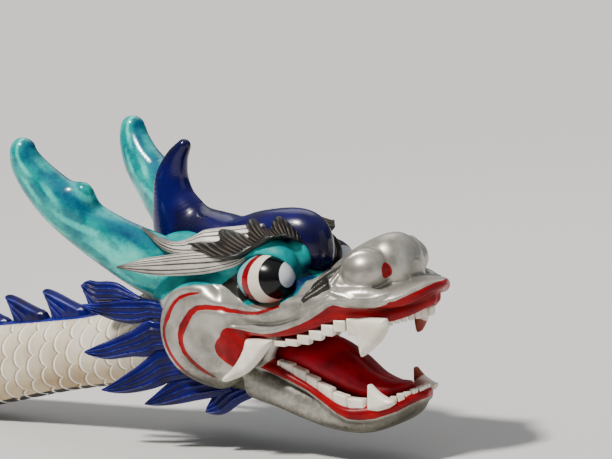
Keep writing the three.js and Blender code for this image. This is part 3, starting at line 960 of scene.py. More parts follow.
MANE = Finish("mane_blue_paint", "mane_blue", rgb(9, 5, 94), rgb(5, 3, 50),
              dirt=rgb(4, 2, 40), undercoat=rgb(48, 56, 176), gloss=0.3, coat=0.08, shine=0.25,
              coats=(Coat("ridge_line", rgb(64, 74, 176), rgb(14, 18, 108), waver=2.4),))
BROW = Finish("brow_black_paint", "brow_black", rgb(34, 30, 26), rgb(18, 15, 13),
              dirt=rgb(6, 5, 5), undercoat=rgb(106, 92, 76), gloss=0.3, rub=0.75, dirt_amount=0.9)
LOCK = Finish("silver_hair_paint", "silver", rgb(208, 203, 195), rgb(178, 172, 164),
              dirt=rgb(58, 50, 42), undercoat=rgb(236, 232, 226), metal=0.1, gloss=0.42,
              dirt_amount=0.9)
IVORY = Finish("tooth_ivory_paint", "ivory", rgb(240, 234, 220), rgb(222, 212, 194),
               dirt=rgb(150, 110, 84), undercoat=rgb(250, 246, 236), gloss=0.3, rub=0.2, clouds=24,
               coats=(Coat("bare_tip", rgb(160, 70, 44), rgb(132, 54, 36), waver=8.0),))
# On the neck the relief carries a painted highlight, so the rubbed white undercoat lights the rims of
# the scales.
NECK = Finish("neck_cream_paint", "neck_white", rgb(222, 212, 194), rgb(200, 186, 160),
              dirt=rgb(138, 110, 70), undercoat=rgb(255, 252, 246), gloss=0.42, clouds=9,
              dirt_amount=0.9, rub=0.9,
              # Yellower, darker paint towards the bottom of the neck.
              coats=(Coat("stain", rgb(206, 186, 150), rgb(178, 152, 112), softness=28.0, waver=40.0),
                     Coat("blue_edge", BLUE_A, BLUE_B, waver=5.0),
                     Coat("black_line", rgb(14, 14, 16), rgb(26, 25, 24), waver=3.0)))
RED = Finish("mouth_red_paint", "red", rgb(184, 0, 34), rgb(120, 0, 20), gloss=0.45,
             coat=0.05, rub=0.1, shine=0.3)
WOOD = Finish("bare_wood", "bare_wood", rgb(188, 136, 88), rgb(150, 100, 60), gloss=0.6,
              brush=1.0, clouds=8)
EYE = Finish("eye_paint", "eye_white", rgb(235, 228, 212), rgb(222, 214, 196), gloss=0.2,
             coat=0.08, shine=0.3, rub=0.0, dirt_amount=0.3, bump=0.1,
             coats=(Coat("ring_red", RED_A, RED_B, waver=0.5),
                    Coat("ring_turquoise", rgb(120, 190, 200), rgb(90, 170, 182), waver=0.5),
                    Coat("pupil", rgb(6, 6, 8), rgb(12, 12, 14), waver=0.4),
                    Coat("glint", rgb(204, 208, 214), rgb(192, 197, 204), waver=0.4)))


# The carved head

# The lower jaw's rear flanks are drawn in by a share of their distance from the middle, and
# move back and down by shares of that.
SWEEP_SHARE, SWEEP_BACK, SWEEP_DOWN = 0.24, 0.78, 0.194


def swept_in(places: Array) -> Array:
    """Draw the flanks of the lower jaw in and back, until its two rows of teeth run side by side.

    Args:
        places: points of a piece of the head.

    Returns:
        The points, moved where they belong to the rear of the lower jaw.
    """
    x, y, z = places.T
    amount = np.full(len(x), SWEEP_SHARE)
    for ease in ((x - 850) / 75, (1105 - x) / 140, (128 - z) / 36):
        ease = np.clip(ease, 0, 1)
        amount = amount * ease * ease * (3 - 2 * ease)
    shift = amount * np.abs(y)
    return np.stack([x - SWEEP_BACK * shift, y * (1 - amount), z - SWEEP_DOWN * shift], 1)


@dataclass
class CarvedHead:
    """Skull, cheeks, nose, lips, eye sockets and the lower jaw, carved from one log."""

    step: float = 3.0
    split_x: float = 864.0

    # Sections of the lofts, and points of the limbs.
    cranium: Rows = (
        (602, 138, 80, 106), (630, 152, 98, 128), (680, 156, 110, 138), (750, 150, 115, 145),
        (800, 144, 114, 149), (850, 137, 111, 154), (866, 136, 108, 150))
    shelf: Rows = (
        (840, 190, 110, 42), (900, 186, 110, 36), (950, 190, 108, 34), (1000, 195, 108, 32),
        (1060, 203, 104, 30), (1110, 206, 93, 26), (1155, 211, 69, 20), (1186, 216, 42, 16),
        (1204, 221, 20, 10), (1215, 225, 7, 5))
    bridge: Rows = (
        (840, 214, 66, 74), (900, 212, 64, 70), (935, 198, 60, 54), (970, 194, 56, 41),
        (1005, 216, 53, 46), (1040, 236, 52, 48), (1080, 248, 54, 54), (1112, 250, 56, 60),
        (1136, 248, 50, 53), (1150, 244, 37, 40), (1157, 240, 20, 24))
    jaw: Rows = (
        (840, 50, 113, 42), (890, 37, 115, 41), (950, 16, 112, 39), (1005, -3, 101, 36),
        (1060, -11, 81, 33), (1105, -2, 60, 28), (1135, 10, 36, 21), (1148, 18, 17, 13),
        (1153, 22, 7, 6))
    trough: Rows = (
        (870, 92, 78, 58), (900, 84, 80, 56), (980, 52, 72, 48), (1040, 36, 60, 40),
        (1090, 34, 42, 30), (1118, 38, 20, 16))
    lip: Rows = (
        (838, -104, 176, 12, 10), (880, -118, 184, 20, 15), (930, -122, 187, 22, 16),
        (985, -119, 196, 19, 15), (1045, -110, 207, 18, 15), (1105, -94, 213, 17, 14),
        (1155, -69, 206, 14, 11), (1187, -40, 214, 11, 9), (1205, -15, 223, 6, 5))
    upper_gum: Rows = (
        (826, -104, 140, 8, 6), (862, -114, 148, 10, 9), (920, -117, 150, 12, 10),
        (980, -115, 161, 14, 10), (1045, -106, 182, 13, 11), (1089, -85, 180, 13, 13),
        (1112, -70, 176, 13, 13), (1130, -55, 176, 13, 13), (1150, -38, 180, 12, 12),
        (1171, -22, 188, 11, 11), (1188, -6, 197, 10, 10))
    lower_gum: Rows = (
        (850, -104, 98, 7, 6), (885, -99, 88, 10, 8), (912, -97, 75, 12, 9),
        (939, -94, 58, 12, 9), (985, -85, 28, 12, 9), (1012, -79, 16, 12, 9),
        (1039, -73, 8, 12, 9), (1072, -67, 5, 12, 9), (1108, -54, 11, 11, 9),
        (1138, -31, 22, 8, 8), (1148, -8, 28, 5, 5))
    jaw_lip: Rows = (
        (868, -110, 88, 6, 5), (890, -112, 80, 7, 6), (921, -111, 71, 8, 7), (954, -109, 57, 8, 7),
        (985, -105, 41, 8, 7), (1008, -100, 24, 9, 7), (1030, -94, 8, 10, 7), (1050, -88, 0, 11, 7),
        (1072, -81, -1, 12, 7), (1090, -72, 0, 12, 7), (1112, -58, 6, 11, 7), (1132, -41, 13, 10, 7),
        (1146, -20, 19, 8, 6), (1152, 0, 21, 7, 6))
    web: Rows = (
        (916, -104, 150, 13, 12), (908, -104, 126, 12, 12), (896, -104, 104, 12, 12),
        (880, -106, 84, 13, 12))
    flank: Rows = (
        (948, -76, 204, 28, 32), (995, -74, 212, 33, 38), (1040, -70, 222, 36, 36),
        (1080, -64, 226, 34, 32))
    brow_rim: Rows = (
        (800, -92, 262, 14, 14), (843, -87, 272, 14, 14), (876, -81, 283, 14, 15),
        (900, -66, 288, 13, 14), (920, -47, 282, 10, 12))

    # Painted patches, and the strokes in and beside them, in the flank view: x, z, half width.
    mouth: Rows = (
        (904, 144), (930, 147.5), (957, 155), (989, 165.8), (1010, 175), (1031, 187),
        (1050, 198.3), (1062, 203), (1080, 197), (1095, 192.5), (1107, 191), (1128, 194),
        (1158, 203.5), (1181, 214.5), (1194.5, 222), (1206, 228), (1214.6, 230.5), (1240, 231),
        (1240, 18), (1156, 17.5), (1130, 3), (1098, -7), (1072, -9), (1052, -8), (1033, 3),
        (1010, 22), (982, 42), (949, 57), (919, 66.5), (893, 77), (884, 80), (893, 84),
        (904, 92), (917, 108), (925, 124), (926, 138))
    corner: Rows = (
        (834, 152), (826, 152.7), (818.4, 149.1), (813, 142.7), (809.7, 135.2), (799.3, 127),
        (791.4, 116.6), (792, 105.4), (799, 96.6), (811.5, 89.5), (821, 83.3), (830, 79),
        (841, 80), (856, 100), (872, 122), (905, 136), (930, 140), (931, 147.3), (904, 144.2),
        (881.8, 146.3), (860.3, 148.5))
    turquoise: Rows = (
        (580, 190), (658, 190), (683, 208), (706, 216), (729, 222), (757, 226), (775, 225),
        (800, 224), (825, 216), (852, 205), (868, 196), (892, 192.5), (928, 197), (958, 203),
        (978, 216), (988, 232), (993, 250), (992, 270), (984, 292), (965, 308), (940, 318),
        (900, 326), (850, 330), (580, 350))
    lid: Rows = (
        (799, 224), (815, 235), (834, 245), (848, 256), (847, 234), (851, 214), (868, 196),
        (852, 205), (825, 216))
    back: Rows = ((560, 192), (650, 192), (656, 176), (652, 140), (655, 110), (664, 84),
                  (680, 62), (700, 42), (730, 28), (765, 20), (765, -60), (560, -60))
    # Painted shade beside the eye, laid with the blue edge coat.
    eye_shade: Rows = (
        (942, 232), (946, 256), (960, 263), (979, 257), (990, 245), (989, 232), (974, 218),
        (956, 208), (940, 210))
    saddle: Rows = (
        (962, 300), (962, 214), (975, 212), (1000, 226), (1014, 240), (1012, 252), (1000, 250),
        (990, 262), (985, 290))
    saddle_strokes: Sequence[Rows] = (
        ((1006, 251, 0.8), (985, 242, 1.2), (960, 240, 0.8)),
        ((1003, 240, 0.8), (985, 232, 1.2), (965, 229, 0.8)),
        ((996, 230, 0.8), (980, 222, 1.0), (966, 219, 0.6)))
    red_lines: Sequence[Rows] = (
        ((766, 213, 0.7), (744, 210, 1.7), (722, 203, 2.2), (707.6, 192, 2.8), (697.4, 179, 3.3),
         (690, 165.7, 4.6), (682.6, 156, 3.7), (677.3, 144.5, 3.1), (675.3, 129.4, 3.1),
         (679.3, 113, 3.1), (687, 96.5, 3.1), (701.4, 78.7, 3), (720, 62.7, 2.8), (742, 49, 2.4),
         (765, 40, 1.8), (785, 36, 0.8)),
        ((952, 197, 0.7), (927, 190, 1.5), (903, 183.5, 1.9), (870, 181, 2.2), (833, 183, 2.8),
         (808, 187, 3.1), (782, 188, 3.5), (761, 185.3, 3.9), (746, 175.5, 5.2), (735.3, 162.2, 6.3),
         (724, 147, 7.2), (717.7, 133.6, 5.9), (716.8, 118.6, 4.8), (723, 102.2, 4.1),
         (735.7, 88, 3.3), (754, 75, 3), (772, 66, 2.2), (787, 60, 0.9)))
    wall: Rows = ((898, 320), (898, 232), (968, 210), (968, 300))
    field: Rows = (
        (1050, 264), (1048, 252), (1043, 242), (1046, 231), (1036, 223), (1020, 214), (1004, 206),
        (999, 212), (1004, 224), (1012, 238), (1022, 252), (1034, 266), (1044, 274))
    field_strokes: Sequence[Rows] = (
        ((1046, 266, 0.8), (1030, 252, 1.3), (1010, 236, 0.8)),
        ((1045, 252, 0.8), (1026, 238, 1.4), (1004, 221, 0.8)),
        ((1042, 238, 0.8), (1024, 226, 1.2), (1006, 213, 0.6)))
    streaks: Sequence[Rows] = (
        ((1038, 247.5, 0.9), (1034, 243, 2.2), (1026.6, 236, 2.0), (1014, 226.5, 1.6),
         (1006, 217.5, 1.1), (997.6, 208, 0.6)),
        ((1040.6, 240, 1.2), (1041, 233, 2.8), (1031, 226, 2.2), (1024, 219.5, 1.4),
         (1013.5, 211, 0.9), (998, 201.3, 0.8), (983, 192, 0.5)),
        ((1028, 244, 0.7), (1016, 234, 1.4), (1004, 224, 1.2), (994, 214, 0.5)),
        ((1044, 236, 0.9), (1045, 229, 2.6), (1036, 224, 1.6), (1026, 215, 0.6)))

    # Ridges and grooves: a line, its width and height, and the range of y that it works on.
    carving: Sequence[tuple[Rows, float, float, tuple[float, float]]] = (
        (((766, 212), (735, 209), (712, 200), (695, 188), (683, 175), (676, 161), (676, 146),
          (675, 130), (679, 113), (687, 96), (701, 79), (720, 63), (742, 49), (765, 40)),
         5.0, -2.6, (-400, -60)),
        (((952, 197), (927, 190), (903, 184), (870, 181), (838, 183), (808, 187), (782, 188),
          (761, 185), (746, 175.5), (735, 162), (724, 147), (718, 134), (717, 119), (723, 102),
          (736, 88), (754, 75), (772, 66)), 6.0, -3.2, (-400, -60)),
        (((786, 156), (812, 159), (846, 159), (893, 158), (932, 163), (972, 175), (1008, 191),
          (1036, 207)), 9.0, -1.2, (-400, -70)),
        (((838, 152), (878, 150), (914, 151), (948, 157), (984, 170), (1016, 186), (1048, 205),
          (1064, 211), (1085, 206), (1107, 198), (1128, 198), (1156, 207), (1180, 217)),
         5.0, 3.5, (-400, -40)),
        (((775, 132), (784, 116), (800, 100)), 20.0, -7.0, (-400, -70)),
        (((1050, 237), (1056, 250), (1064, 267), (1076, 281), (1090, 290), (1108, 291),
          (1126, 284), (1140, 270)), 3.4, 3.0, (-130, -45)),
        (((1050, 237), (1064, 223), (1084, 215), (1106, 211), (1130, 212), (1150, 219)),
         3.4, 2.4, (-130, -55)),
        (((1030, 250), (1042, 242), (1047, 234), (1056, 226), (1048, 218), (1036, 210),
          (1020, 201), (1001, 194), (981, 188)), 3.2, 2.2, (-150, -55)),
        (((1056, 226), (1068, 224.5), (1081, 220.7), (1097, 213.4)), 3.0, 2.2, (-150, -55)),
        (((660, 200), (700, 213), (730, 223), (760, 228), (790, 227)), 8.0, 3.0, (-150, -60)),
    )

    # The rounded lumps and hollows.
    cheekbone: Bead = Bead((820, -92, 176), (120, 36, 44), 8)
    cheek_rim: Pad = Pad((749, -106, 136), 91, 24, 19, 4)
    cheek_pad: Pad = Pad((776, -100, 112), 80, 24, 20, 3)
    temple: Bead = Bead((678, -46, 274), (70, 36, 35))
    socket: Bead = Bead((866, -66, 249), (80, 38, 57), 8)
    nostril: Bead = Bead((1091, -58, 254), (45, 42, 38))
    inner_wall: Bead = Bead((918, -38, 266), (38, 17, 34))
    eye_hollow: Bead = Bead((903, -116, 237), (70, 52, 47), -6)
    nose_valley: Bead = Bead((988, -80, 287), (40, 50, 50))
    nostril_marks: Sequence[Bead] = (Bead((1136.5, -59, 253.5), (9, 12, 15.5), 8),
                                     Bead((1124, -84, 253.5), (12, 13, 15.5), 8))

    # The red inside of the mouth: where it begins, and its half width, lowest and highest z.
    throat: float = 872.0
    roof_span: Sequence[float] = (86, 100, 205)
    floor_span: Sequence[float] = (84, -34, 70)
    line_swell: float = 1.2
    paired_nodes: Sequence[str] = ("cheek", "upper_lip", "nostril", "mouth_corner", "eye_socket")

    def clay(self) -> Clay:
        """Model the seen half of the head."""
        c, jaw = (Clay((590, -159, -75), (1232, 0, 350), self.step) for _ in range(2))
        for form, blend in (
                (Loft(self.cranium), 8), (Loft(self.shelf), 10), (Loft(self.bridge), 12),
                (self.cheekbone, 14), (self.cheek_rim, 5), (self.cheek_pad, 12),
                (Limb(self.flank), 14), (self.temple, 12), (self.socket, 10), (self.nostril, 4),
                (Limb(self.brow_rim), 12), (Limb(self.lip), 9), (Limb(self.upper_gum), 11),
                (self.inner_wall, 8)):
            c.add(form, blend)
        c.cut(self.eye_hollow, 4).cut(self.nose_valley, 6).add(Limb(self.web), 8)
        jaw.add(Loft(self.jaw, 3.2), 4).cut(Loft(self.trough), 6)
        jaw.add(Limb(self.lower_gum), 4).add(Limb(self.jaw_lip), 12)
        c.field = smooth_min(c.field, jaw.field, 10).astype(np.float32)
        for line, width, height, reach in self.carving:
            c.trace(line, width, height, reach)
        return c

    def paint(self, skin: Skin) -> Skin:
        """Write the distance of every point to the edges of the painted areas."""
        x, left, z = skin.places.T
        y, up = np.abs(left), skin.normal[:, 2]

        def patch(outline: Rows, strokes: Sequence[Rows] = ()) -> Array:
            """Return the distance to a patch in which strokes are left bare."""
            bare = [-stroke_distance(x, z, line) for line in strokes]
            return np.maximum.reduce([patch_distance(x, z, outline), *bare])

        mouth = np.minimum(patch(self.mouth), patch(self.corner))
        roof, floor = ((x > self.throat) & (y < half) & (z > low) & (z < high)
                       for half, low, high in (self.roof_span, self.floor_span))
        inner = (roof & (up < -0.25)) | (floor & (up > 0.2))
        red = np.minimum(mouth, np.where(inner, -8.0, 8.0))
        lines = [np.maximum(stroke_distance(x, z, line) - self.line_swell,
                            np.where(x > 880, 98, 60) - y) for line in self.red_lines]
        right_mark, left_mark = (mark.distance(x, -y, z) for mark in self.nostril_marks)
        streaks = [np.maximum(stroke_distance(x, z, line), 60 - y) for line in self.streaks]
        # Painted shade: faces below z 70 that look down, and the upturned valley under the lower red
        # band, where it dulls a highlight; kept off the red.
        valley = (x < 1030) & (z < 96) & (y > 78)
        under = np.minimum(np.where(z < 70, 9 * (up + 0.2), 9.0),
                           np.where(valley, 7 * (0.3 - up), 9.0))
        skin.marks.update(
            mouth_red=red,
            turquoise_edge=patch(self.turquoise),
            # The blue patch behind the cheek, and the painted shade beside the eye.
            blue_edge=np.minimum(patch(self.back), np.maximum(patch(self.eye_shade), 30 - y)),
            red_line=np.minimum.reduce([*lines, np.where(left > 0, left_mark, right_mark)]),
            black_line=np.minimum.reduce([
                *streaks, np.maximum(patch(self.field, self.field_strokes), 40 - y),
                np.maximum(patch(self.wall), 8 - left),
                np.maximum(patch(self.saddle, self.saddle_strokes), y - 60),
                np.maximum(patch(self.lid), 60 - y)]),
            under=np.maximum(under, 3 - red))
        return skin

    def build(self) -> None:
        """Carve, paint and part the head from the lower jaw."""
        skin = self.paint(self.clay().skin(mirrored=True))
        skin.places = swept_in(skin.places)
        x, _, z = skin.places[skin.faces].mean(1).T
        lower = (x > self.split_x) & (z < 118 - 0.05 * (x - 860))
        nodes = ["skull", "upper_jaw"] + [f"{n}_{s.word}" for n in self.paired_nodes for s in Side]
        carve_object("carved_head", skin.keep(skin.faces[~lower]), HEAD, nodes)
        carve_object("carved_lower_jaw", skin.keep(skin.faces[lower]), HEAD, ["lower_jaw"])


@dataclass
class Crest:
    """The dark blue crest over the forehead with its upright horn."""

    step: float = 3.0
    forehead: Rows = (
        (640, 292, 36, 38), (690, 298, 46, 44), (735, 296, 49, 40), (773, 292, 48, 39),
        (820, 296, 50, 46), (880, 296, 50, 53), (920, 289, 46, 58), (948, 284, 37, 52),
        (966, 280, 23, 38), (974, 278, 10, 20))
    horn: Rows = (
        (655, 0, 262, 70, 40), (632, 0, 312, 66, 40), (618, 0, 356, 46, 34), (617, 0, 398, 34, 28),
        (633, 0, 436, 22, 20), (654, 0, 461, 13, 13))

    def build(self) -> None:
        """Carve and paint the crest."""
        c = Clay((560, -72, 215), (1000, 0, 490), self.step)
        c.add(Loft(self.forehead, 2.1), 4).add(Limb(self.horn), 16)
        carve_object("forehead_crest", c.skin(mirrored=True), CREST, ["crest"])


@dataclass
class Horns:
    """The two swept turquoise horns with a short knob on each."""

    step: float = 3.0
    shaft: Rows = (
        (650, -58, 230, 64, 34), (597, -79, 260, 60, 38), (546, -99, 293, 53, 38),
        (499, -118, 330, 49, 37), (457, -134, 371, 48, 35), (419, -143, 410, 41, 32),
        (398, -151, 443, 34, 28), (392, -155, 465, 28, 25), (392, -155, 475, 25, 23))
    knob: Rows = (
        (484, -120, 361, 40, 30), (504, -126, 385, 28, 22), (512, -129, 395, 18, 15))
    shade_from: float = 0.62
    shade_to: float = 1.04
    worn_below: float = -0.8
    half_width: float = 30.0
    pale_root: float = 95.0

    def paint(self, skin: Skin) -> Skin:
        """Write the edges of the shade on top, the worn underside, the pearly streaks and the painted
        gleam near the root.
        """
        line = spline(self.shaft, 6)
        start = run_length(line[:, :3])
        best = np.full(len(skin.places), np.inf)
        along, rise = np.zeros_like(best), np.zeros_like(best)
        for a, b, begun, ended in zip(line[:-1], line[1:], start[:-1], start[1:]):
            length = ended - begun
            way = (b[:3] - a[:3]) / length
            gap = skin.places - a[:3]
            t = np.clip(gap @ way, 0, length)
            gap = gap - t[:, None] * way
            far = np.linalg.norm(gap, axis=1)
            flank = (gap[:, 2] * way[0] - gap[:, 0] * way[2]) / (a[3] * math.hypot(way[0], way[2]))
            near = far < best
            along, rise = np.where(near, begun + t, along), np.where(near, -flank, rise)
            best = np.minimum(best, far)
        streak = np.sin(9 * rise + 1.3 * np.sin(along / 31)) * np.sin(along / 27 + 2.1 * rise)
        # A painted highlight: a pale patch in the pearly coat round the root, where the sun's gleam
        # falls.
        root = np.exp(-((along - self.pale_root) / 60) ** 2 - ((rise - 0.1) / 0.4) ** 2)
        shade = np.maximum(self.shade_from - rise, rise - self.shade_to)
        skin.marks.update(
            shade=shade * self.half_width + 3 * np.sin(along / 23),
            worn=(rise - self.worn_below) * self.half_width, pearl=4 - 9 * streak - 14 * root)
        return skin

    def build(self) -> None:
        """Carve and paint both horns."""
        c = Clay((370, -200, 190), (720, -30, 520), self.step)
        c.add(Limb(self.shaft), 4).add(Limb(self.knob), 18)
        carve_sides("swept_horn", self.paint(c.skin()), HORN, "horn")


@dataclass
class Fangs:
    """Rear tusks, upper fangs and lower fangs in ivory paint, worn to bare wood on one flank."""

    step: float = 2.0
    tusk: Rows = (
        (860, 131), (888, 134), (922, 134), (913, 121), (898, 104), (882, 87), (866, 73), (844, 62),
        (821, 54), (810, 53), (808, 59), (815, 66), (829, 77), (840, 89), (849, 102), (856, 115))
    upper: Rows = (
        (1070, 178), (1146, 176), (1149, 162), (1143, 149), (1130, 133), (1113, 120),
        (1098, 109), (1090, 105), (1088, 114), (1087, 130), (1085, 147), (1074, 164))
    upper_left: Rows = (
        (1078, 180), (1116, 180), (1119, 160), (1116, 143), (1108, 128), (1100, 117), (1090, 112),
        (1086, 120), (1084, 134), (1080, 152))
    lower: Rows = (
        (1083, 6), (1083, 16), (1084, 32), (1086, 53), (1091, 54), (1100, 45),
        (1110, 37), (1122, 31), (1136, 27), (1137, 20), (1124, 12), (1104, 6))

    def forms(self) -> Iterable[tuple[str, Puff, Sequence[Side], Sequence[float]]]:
        """Return each fang's name, form, sides, and worn tip with the reach of the wear."""
        yield ("rear_tusk", Puff(self.tusk, (880, -122, 100, 0.02, 0.17), 14, 13), tuple(Side),
               (799, 49, 0))
        yield ("upper_fang", Puff(self.upper, (1100, -89, 150, 0.14, -0.05), 12, 16),
               (Side.RIGHT,), (1090, 105, 0))
        yield ("upper_fang", Puff(self.upper_left, (1098, -86, 150, 0.14, -0.05), 10, 12),
               (Side.LEFT,), (1090, 112, 32))
        for side, worn in ((Side.RIGHT, 0), (Side.LEFT, 22)):
            yield ("lower_fang", Puff(self.lower, (1100, -70, 20, 0.12, 0.03), 11, 12),
                   (side,), (1088, 54, worn))

    def build(self) -> None:
        """Carve and paint the three fangs of each flank."""
        for name, form, sides, (tip_x, tip_z, worn) in self.forms():
            low, high = form.box()
            skin = Clay(low - 8, high + 8, self.step).add(form, 1).skin()
            away = np.hypot(skin.places[:, 0] - tip_x, skin.places[:, 2] - tip_z)
            skin.marks["bare_tip"] = away - worn if worn else away + UNWORN
            carve_sides(f"carved_{name}", skin, IVORY, name, sides)


@dataclass
class TeethRows:
    """Small square teeth in rows: six and a wide one above, seven below, and the front rows.

    The upper row holds, for each tooth, its first and last x, the y of its outer face, the
    height of its root and the height of its edge. The lower row is one strip, parted by
    grooves at the gaps: it holds x, the y of the outer face, the root's height and the top.
    """

    upper: Rows = (
        (924, 948.8, -121, 132, 122.5), (949.4, 974.8, -121, 136, 124.5),
        (975.4, 1000.3, -120, 145, 129), (1000.9, 1025.8, -118, 154, 137.5),
        (1026.4, 1048.8, -115, 165, 145.5), (1049.4, 1070.8, -110, 173, 152.5),
        (1071.4, 1092, -102, 176, 146))
    lower: Rows = (
        (912, -107, 72, 92), (930, -106, 65, 88.5), (947, -105, 58, 83.5), (972, -101, 44, 70),
        (994, -97, 30, 57), (1022, -92, 16, 40), (1049, -87, 8, 29.5), (1080, -80, 7, 26))
    gaps: Sequence[float] = (920, 947, 971, 993, 1021, 1048)
    upper_front: Rows = ((1126, -58), (1140, -45), (1154, -32), (1168, -19), (1178, -6))
    lower_front: Rows = ((1117, -55), (1128, -47), (1137, -36), (1144, -23), (1148, -8))
    gap_width: float = 1.3
    half_thick: float = 8.5
    profile: Rows = (
        (0, 1.0), (0.3, 1.0), (0.6, 0.995), (0.84, 0.985), (0.93, 0.965), (0.98, 0.91), (1.0, 0.82))

    def tooth(self) -> Skin:
        """Carve a pattern tooth of unit width, thickness and height, standing on its root."""
        square = np.stack(squared_circle(32, 0.2), 1) / 2
        skin = ring_skin(np.array([np.column_stack([square * size, np.full(len(square), z)])
                                   for z, size in self.profile]))
        z = skin.places[:, 2]
        # Each tooth is darker towards its root, as grime and painted shade where it meets the gum.
        skin.marks = {"relief": np.clip((z - 0.9) * 8, 0, 1) * 0.3,
                      "hollow": np.clip(0.5 - z, 0, 1), "bare_tip": np.full(len(z), UNWORN)}
        return skin

    def lower_strip(self) -> Skin:
        """Carve the lower flank row as one strip with a shallow groove at every gap."""
        x, y, root, top = spline(self.lower, 28).T
        ends = np.array([x[0], *self.gaps, x[-1]])
        own = np.clip(np.searchsorted(ends, x) - 1, 0, len(ends) - 2)
        top = top + 0.35 * (np.interp((ends[own] + ends[own + 1]) / 2, x, top) - top)
        groove = np.exp(-(np.abs(x[:, None] - np.array(self.gaps)).min(1) / self.gap_width) ** 2)
        close = np.clip(np.minimum(x - x[0], x[-1] - x) / 3, 0.1, 1) ** 0.5
        u, v = squared_circle(48, 0.3)
        half = self.half_thick * close * (1 - 0.26 * groove)
        high = (top - root) / 2 * close * (1 - 0.12 * groove)
        rings = np.stack([np.broadcast_to(x[:, None], (len(x), len(u))),
                          (y + self.half_thick)[:, None] + half[:, None] * u,
                          ((top + root) / 2)[:, None] + high[:, None] * v], 2)
        skin = ring_skin(rings).with_relief()
        soiled = on_rings(np.repeat(groove * 0.5, len(u)), 0.0)
        skin.marks.update(hollow=np.maximum(skin.marks["hollow"], soiled),
                          bare_tip=np.full(len(skin.places), UNWORN))
        skin.places = swept_in(skin.places)
        return skin

    def flank_seats(self, side: Side, thick: float) -> list[Seat]:
        """Return the seats of the upper row of flank teeth."""
        seats = []
        middles = [((a + b) / 2, y, root) for a, b, y, root, _ in self.upper]
        for k, (first, last, y, root, edge) in enumerate(self.upper):
            before, after = middles[max(k - 1, 0)], middles[min(k + 1, len(middles) - 1)]
            run = after[0] - before[0]
            yaw, fall = (after[1] - before[1]) / run, (before[2] - after[2]) / run
            lean, high = 0.2 * math.atan(fall), abs(edge - root)
            place = ((first + last) / 2 - 0.5 * math.sin(lean) * high,
                     side.value * (y + thick / 2), root)
            size = ((last - first) / math.cos(math.atan(yaw)), thick, high / math.cos(lean))
            seats.append(Seat(place, (math.pi, -lean, yaw * side.value), size))
        return seats

    def front_seats(self, ends: Rows, root: float, edge: float, width: float) -> list[Seat]:
        """Return the seats of a front row, bowed from one flank to the other."""
        line = spline([*ends, *[(x, -y) for x, y in reversed(ends)]], 12)
        total = run_length(line)[-1]
        count = int(total // width)
        at = (np.arange(count) + 0.5) * total / count
        seats = []
        for (x, y), (ahead_x, ahead_y) in zip(on_line(line, at), on_line(line, at + 2)):
            yaw = math.atan2(ahead_y - y, ahead_x - x)
            turn = (0.0, 0.0, yaw) if edge > root else (math.pi, 0.0, -yaw)
            rise = 12 * (1 - (y / 60) ** 2)
            seats.append(Seat((x, y, root + rise), turn, (width * 0.9, 10, abs(edge - root))))
        return seats

    def build(self) -> None:
        """Seat all rows."""
        strip = self.lower_strip()
        for side in Side:
            seat_copies(f"small_teeth_upper_{side.word}", self.tooth(), self.flank_seats(side, 15.0),
                        IVORY, [f"upper_tooth_row_{side.word}"], 0.025, 0.02, 3)
            carve_sides("small_teeth_lower", strip, IVORY, "lower_tooth_row", [side])
        for row, seats, vary, seed in (
                ("upper", self.front_seats(self.upper_front, 171, 154, 12), 0.05, 11),
                ("lower", self.front_seats(self.lower_front, 4, 26, 13), 0.06, 5)):
            seat_copies(f"small_teeth_{row}_front", self.tooth(), seats, IVORY,
                        [f"{row}_front_teeth"], 0.05, vary, seed)


@dataclass
class Tongue:
    """The tongue that fills the floor of the mouth, with a groove down its middle."""

    body: Rows = (
        (852, 74, 66, 38), (905, 80, 64, 40), (955, 74, 62, 40), (1005, 54, 56, 36),
        (1050, 34, 46, 25), (1090, 29, 34, 17), (1118, 34, 20, 11), (1127, 37, 8, 5))
    groove: Rows = (
        (850, 0, 119, 4, 4), (905, 0, 126, 4, 4), (955, 0, 120, 4, 4), (1005, 0, 95, 4, 4),
        (1050, 0, 63, 3, 3), (1085, 0, 49, 2, 2))

    def build(self) -> None:
        """Carve the tongue."""
        c = Clay((840, -76, -10), (1136, 0, 140), 3.0)
        c.add(Loft(self.body, 2.2), 2).cut(Limb(self.groove), 9)
        carve_object("carved_tongue", c.skin(mirrored=True), RED, ["tongue"])


# The neck and the seat


